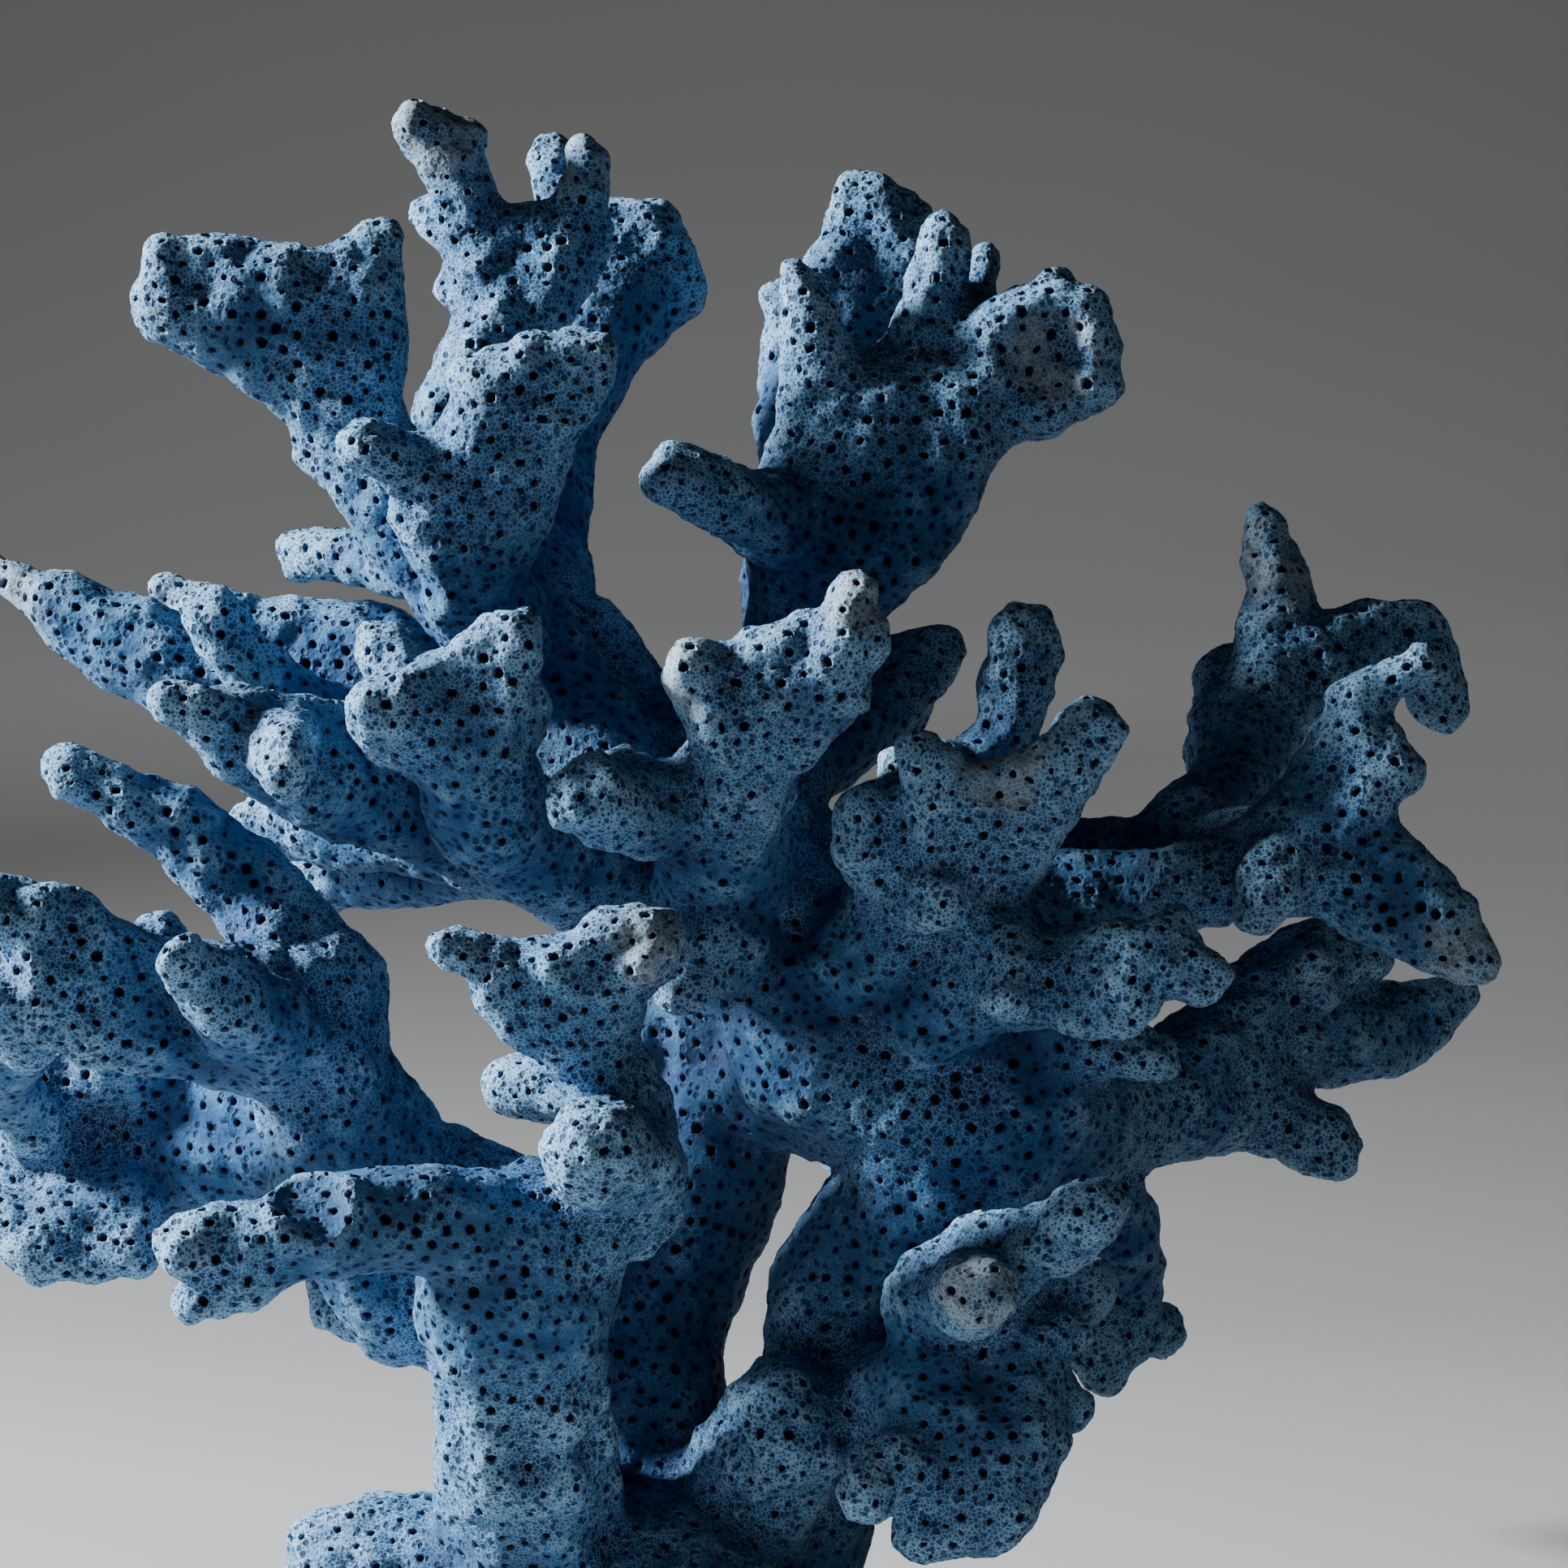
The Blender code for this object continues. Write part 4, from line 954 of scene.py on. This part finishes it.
def small_pores_group():
    """Small and fine pores of coral: how deep each place lies, and the walls between."""
    tree = bpy.data.node_groups.new("small_pores", "ShaderNodeTree")
    tree.interface.new_socket("Place", in_out="INPUT", socket_type="NodeSocketVector")
    tree.interface.new_socket("Pores per metre", in_out="INPUT", socket_type="NodeSocketFloat")
    tree.interface.new_socket("Pore", in_out="OUTPUT", socket_type="NodeSocketFloat")
    tree.interface.new_socket("Wall", in_out="OUTPUT", socket_type="NodeSocketFloat")
    entry = node(tree, "NodeGroupInput")
    leave = node(tree, "NodeGroupOutput")
    warp = node(tree, "ShaderNodeTexNoise")
    link(tree, entry.outputs["Place"], warp.inputs["Vector"])
    warp.inputs["Scale"].default_value = 600.0
    warp.inputs["Detail"].default_value = 0.0
    bend = node(tree, "ShaderNodeVectorMath", operation="SCALE")
    link(tree, warp.outputs["Color"], bend.inputs[0])
    bend.inputs["Scale"].default_value = 0.0003
    moved = node(tree, "ShaderNodeVectorMath", operation="ADD")
    link(tree, entry.outputs["Place"], moved.inputs[0])
    link(tree, bend.outputs["Vector"], moved.inputs[1])
    cells = node(tree, "ShaderNodeTexVoronoi", feature="F1")
    link(tree, moved.outputs["Vector"], cells.inputs["Vector"])
    link(tree, entry.outputs["Pores per metre"], cells.inputs["Scale"])
    walls = node(tree, "ShaderNodeTexVoronoi", feature="DISTANCE_TO_EDGE")
    link(tree, moved.outputs["Vector"], walls.inputs["Vector"])
    link(tree, entry.outputs["Pores per metre"], walls.inputs["Scale"])
    link(tree, step(tree, cells.outputs["Distance"], 0.20, 0.38, 1.0, 0.0), leave.inputs["Pore"])
    link(tree, step(tree, walls.outputs["Distance"], 0.02, 0.11, 1.0, 0.0), leave.inputs["Wall"])
    return tree


def trait_value(tree, name):
    return node(tree, "ShaderNodeAttribute", attribute_name=name).outputs["Fac"]


def new_material(name):
    made = bpy.data.materials.new(name)
    made.use_nodes = True
    tree = made.node_tree
    shader = tree.nodes["Principled BSDF"]
    place = node(tree, "ShaderNodeTexCoord").outputs["Object"]
    return made, tree, shader, place


def small_pores(tree, group, place, per_metre):
    made = node(tree, "ShaderNodeGroup", node_tree=group)
    link(tree, place, made.inputs["Place"])
    made.inputs["Pores per metre"].default_value = per_metre
    return made.outputs["Pore"], made.outputs["Wall"]


def coral_skin(group):
    """Blue coral: pale painted light on ridges, deep blue painted shade in hollows; three pore sizes.
    """
    made, tree, shader, place = new_material("blue_coral_skin")
    pore, relief = trait_value(tree, "pore"), trait_value(tree, "relief")
    tip, worn, halo = trait_value(tree, "tip"), trait_value(tree, "worn"), trait_value(tree, "halo")
    medium, _ = small_pores(tree, group, place, 1050.0)
    body = sums(tree, "SUBTRACT", 1.0, halo)
    medium = sums(tree, "MULTIPLY", medium, step(tree, body, 0.3, 0.8))
    # Where the honeycomb walls are paler and the fine pores darker: at the worn tips, and on raised
    # relief as painted light
    edge = step(tree, tip, 0.35, 0.95, 0.0, 0.55)
    edge = sums(tree, "ADD", edge, step(tree, relief, 0.65, 1.0, 0.0, 0.35))
    fine, net = small_pores(tree, group, place, 2600.0)
    broad = noise_value(tree, place, 16.0, 1.0)
    patch = noise_value(tree, place, 4.0, 3.0, 0.6)
    speck = noise_value(tree, place, 0.6, 1.0, 0.7)

    # Lightness for the ramp: painted light on raised relief and painted shade in its hollows, with
    # random patches and specks, slightly paler tips, and darker round the pores
    lit = sums(tree, "ADD", sums(tree, "MULTIPLY", relief, 0.55), sums(tree, "MULTIPLY", patch, 0.5))
    lit = sums(tree, "ADD", lit, sums(tree, "MULTIPLY", tip, 0.15))
    lit = sums(tree, "ADD", lit, sums(tree, "MULTIPLY", speck, 0.3))
    lit = sums(tree, "SUBTRACT", lit, sums(tree, "MULTIPLY", halo, 0.30))
    colour = ramp(tree, lit, (
        (0.44, (0.001, 0.028, 0.105)), (0.64, (0.005, 0.060, 0.175)),
        (0.82, (0.020, 0.108, 0.245)), (1.0, (0.100, 0.230, 0.370))))
    slate = blend(tree, step(tree, broad, 0.42, 0.62), colour, (0.045, 0.095, 0.145))
    colour = blend(tree, 0.22, colour, slate)
    # Pale honeycomb walls in random patches, at the worn tips, and on raised relief as painted light
    bright = sums(tree, "ADD", step(tree, patch, 0.45, 0.70, 0.02, 0.22), edge)
    colour = blend(tree, sums(tree, "MULTIPLY", net, bright), colour, (0.29, 0.50, 0.69))
    # Painted shade inside the fine and medium pores; the fine ones are darker at the tips and on
    # raised relief
    fine = sums(tree, "MULTIPLY", fine, sums(tree, "ADD", 0.3, edge))
    colour = blend(tree, fine, colour, (0.004, 0.050, 0.165))
    colour = blend(tree, sums(tree, "MULTIPLY", medium, 0.9), colour, (0.002, 0.026, 0.095))
    cream = sums(tree, "MULTIPLY", step(tree, worn, 0.1, 0.8), step(tree, patch, 0.35, 0.55))
    colour = blend(tree, sums(tree, "MULTIPLY", cream, 0.3), colour, (0.40, 0.37, 0.30))
    # Painted shade: the carved pores are darkened to near black, most on their inner ring and floor
    depth = step(tree, pore, 0.28, 0.8)
    colour = blend(tree, sums(tree, "MULTIPLY", depth, 0.95), colour, (0.001, 0.009, 0.040))
    link(tree, colour, shader.inputs["Base Color"])

    height = sums(tree, "MULTIPLY", medium, -0.6)
    height = sums(tree, "ADD", height, sums(tree, "MULTIPLY", speck, 0.4))
    bump = node(tree, "ShaderNodeBump")
    bump.inputs["Strength"].default_value = 0.7
    bump.inputs["Distance"].default_value = 0.35 * MM
    link(tree, height, bump.inputs["Height"])
    link(tree, bump.outputs["Normal"], shader.inputs["Normal"])
    link(tree, step(tree, patch, 0.2, 0.8, 0.72, 0.92), shader.inputs["Roughness"])
    shader.inputs["Specular IOR Level"].default_value = 0.35
    return made


def sawn_coral(group):
    """The flat cut under the colony: pale blue stone with cut pores."""
    made, tree, shader, place = new_material("sawn_blue_coral")
    medium, _ = small_pores(tree, group, place, 800.0)
    fine, _ = small_pores(tree, group, place, 1900.0)
    patch = noise_value(tree, place, 6.0, 4.0, 0.6)
    colour = ramp(tree, patch, ((0.3, (0.150, 0.240, 0.360)), (0.7, (0.330, 0.410, 0.480))))
    # Painted shade inside the cut pores
    colour = blend(tree, sums(tree, "MULTIPLY", fine, 0.4), colour, (0.060, 0.130, 0.250))
    colour = blend(tree, sums(tree, "MULTIPLY", medium, 0.85), colour, (0.025, 0.070, 0.160))
    link(tree, colour, shader.inputs["Base Color"])
    bump = node(tree, "ShaderNodeBump")
    bump.inputs["Strength"].default_value = 0.6
    bump.inputs["Distance"].default_value = 0.3 * MM
    link(tree, sums(tree, "MULTIPLY", sums(tree, "ADD", medium, fine), -0.5), bump.inputs["Height"])
    link(tree, bump.outputs["Normal"], shader.inputs["Normal"])
    link(tree, step(tree, patch, 0.2, 0.8, 0.6, 0.8), shader.inputs["Roughness"])
    return made


def pale_floor():
    """A wide pale floor that rises far behind the colony, with painted light and shade along its
    depth.
    """
    made, tree, shader, place = new_material("pale_floor")
    parts = node(tree, "ShaderNodeSeparateXYZ")
    link(tree, place, parts.inputs["Vector"])
    # Painted light and shade: lighter in front of the colony, darkest about a third of a metre behind
    # it, a little lighter again further back
    away = sums(tree, "ADD", 0.1, parts.outputs["Y"])
    near = ramp(tree, away, (
        (0.0, (0.48, 0.49, 0.51)), (0.16, (0.38, 0.39, 0.40)), (0.25, (0.29, 0.295, 0.30)),
        (0.45, (0.27, 0.27, 0.27)), (1.0, (0.33, 0.33, 0.33))))
    tone = blend(tree, noise_value(tree, place, 300.0, 2.0), near, (0.45, 0.45, 0.45), "SOFT_LIGHT")
    link(tree, tone, shader.inputs["Base Color"])
    shader.inputs["Roughness"].default_value = 0.9
    width, depth, rise, bend = 3.0, 2.4, 2.4, 1.2
    line = [(-1.6, 0.0), (depth - bend, 0.0)]
    for part in range(1, 13):
        turn = part / 12 * math.pi / 2
        line.append((depth - bend + bend * math.sin(turn), bend - bend * math.cos(turn)))
    line.append((depth, rise))
    shape = bmesh.new()
    rows = [[shape.verts.new((side * width, y, z)) for y, z in line] for side in (-1, 1)]
    for index in range(len(line) - 1):
        shape.faces.new((rows[0][index], rows[1][index], rows[1][index + 1], rows[0][index + 1]))
    mesh = bpy.data.meshes.new("floor")
    shape.to_mesh(mesh)
    shape.free()
    for face in mesh.polygons:
        face.use_smooth = True
    mesh.materials.append(made)
    floor = bpy.data.objects.new("floor", mesh)
    bpy.context.scene.collection.objects.link(floor)


def soft_light(name, place, aim, size, power, spread):
    light = bpy.data.lights.new(name, "AREA")
    light.shape = "DISK"
    light.size = size
    light.energy = power
    light.spread = math.radians(spread)
    lamp = bpy.data.objects.new(name, light)
    lamp.location = place
    lamp.rotation_euler = (Vector(place) - Vector(aim)).to_track_quat("Z", "Y").to_euler()
    bpy.context.scene.collection.objects.link(lamp)


def studio():
    """Light from the upper left, a little from behind, and a weak fill."""
    aim = (0.0, 0.0, 0.07)
    soft_light("key", (-0.66, 0.03, 0.36), aim, 0.12, 6.0, 90.0)
    soft_light("front", (-0.9, -0.5, 0.35), aim, 0.4, 0.08, 80.0)
    soft_light("backdrop", (0.0, 0.6, 1.0), (0.0, 1.5, 0.0), 0.8, 3.9, 120.0)
    world = bpy.data.worlds.new("room")
    bpy.context.scene.world = world
    world.use_nodes = True
    air = world.node_tree.nodes["Background"]
    air.inputs["Color"].default_value = (0.75, 0.80, 0.88, 1.0)
    air.inputs["Strength"].default_value = 0.04


def front_camera():
    place, back = eye()
    camera = bpy.data.cameras.new("front")
    camera.sensor_width = SENSOR_WIDTH
    camera.lens = SENSOR_WIDTH * VIEW_DISTANCE / VIEW_WIDTH
    camera.clip_start = 0.01
    made = bpy.data.objects.new("front", camera)
    made.location = place
    made.rotation_euler = back.to_track_quat("Z", "Y").to_euler()
    bpy.context.scene.collection.objects.link(made)
    bpy.context.scene.camera = made


def labels_evened(quads, labels, rounds):
    """Labels of quads, where a quad takes the label that most of its neighbours have."""
    edges = np.vstack([quads[:, [turn, (turn + 1) % 4]] for turn in range(4)])
    owner = np.tile(np.arange(len(quads)), 4)
    keys = np.sort(edges, axis=1)
    order = np.lexsort((keys[:, 1], keys[:, 0]))
    same = (keys[order][1:] == keys[order][:-1]).all(axis=1)
    one, two = owner[order[:-1][same]], owner[order[1:][same]]
    count = labels.max() + 1
    for _ in range(rounds):
        votes = np.zeros((len(quads), count))
        np.add.at(votes, (one, labels[two]), 1)
        np.add.at(votes, (two, labels[one]), 1)
        votes[np.arange(len(quads)), labels] += 0.5
        labels = votes.argmax(axis=1)
    return labels


def main():
    for item in list(bpy.data.objects):
        bpy.data.objects.remove(item)
    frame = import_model()
    rand = np.random.default_rng(SEED)

    corners, quads = fused_colony()
    corners = hollowed(corners, quads)
    tips = closeness(corners, tip_places(), TIP_REACH)
    corners = knobbly(corners, skin_normals(corners, quads), tips)
    corners, quads, split = sawn_flat(corners, quads)
    normals = skin_normals(corners, quads, split)
    # Relief: how far each corner stands above the smoothed skin; the skin material paints raised
    # corners paler as painted light and sunk ones darker as painted shade
    level = evened(corners, quads, RELIEF_ROUNDS)
    relief = ((corners - level) * normals).sum(axis=1) / MM
    worn = [(place, size * MM) for place, size in skin_places(corners, quads, WORN)]
    traits = {
        "tip": closeness(corners, tip_places(), TIP_REACH),
        "relief": np.clip(0.5 + 0.6 * relief, 0.0, 1.0),
        "worn": closeness(corners, worn, WORN_REACH),
    }
    corners, quads, split, traits = pitted(corners, quads, split, traits, rand)
    normals = skin_normals(corners, quads, split)

    names = sorted(frame["nodes"])
    owner = owner_finder(frame["nodes"])
    quad_owner = np.array([owner(place) for place in corners[quads].mean(axis=1)])
    quad_owner = labels_evened(quads, quad_owner, BORDER_ROUNDS)
    split_owner = np.array([owner(place) for place in corners[split].mean(axis=1)])

    group = small_pores_group()
    materials = (coral_skin(group), sawn_coral(group))
    for number, name in enumerate(names):
        own_quads, own_split = quads[quad_owner == number], split[split_owner == number]
        piece = piece_object(name + "_skin", corners, own_quads, own_split, normals, traits,
                             materials)
        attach(piece, "root")
        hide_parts(name)

    pale_floor()
    studio()
    front_camera()


main()
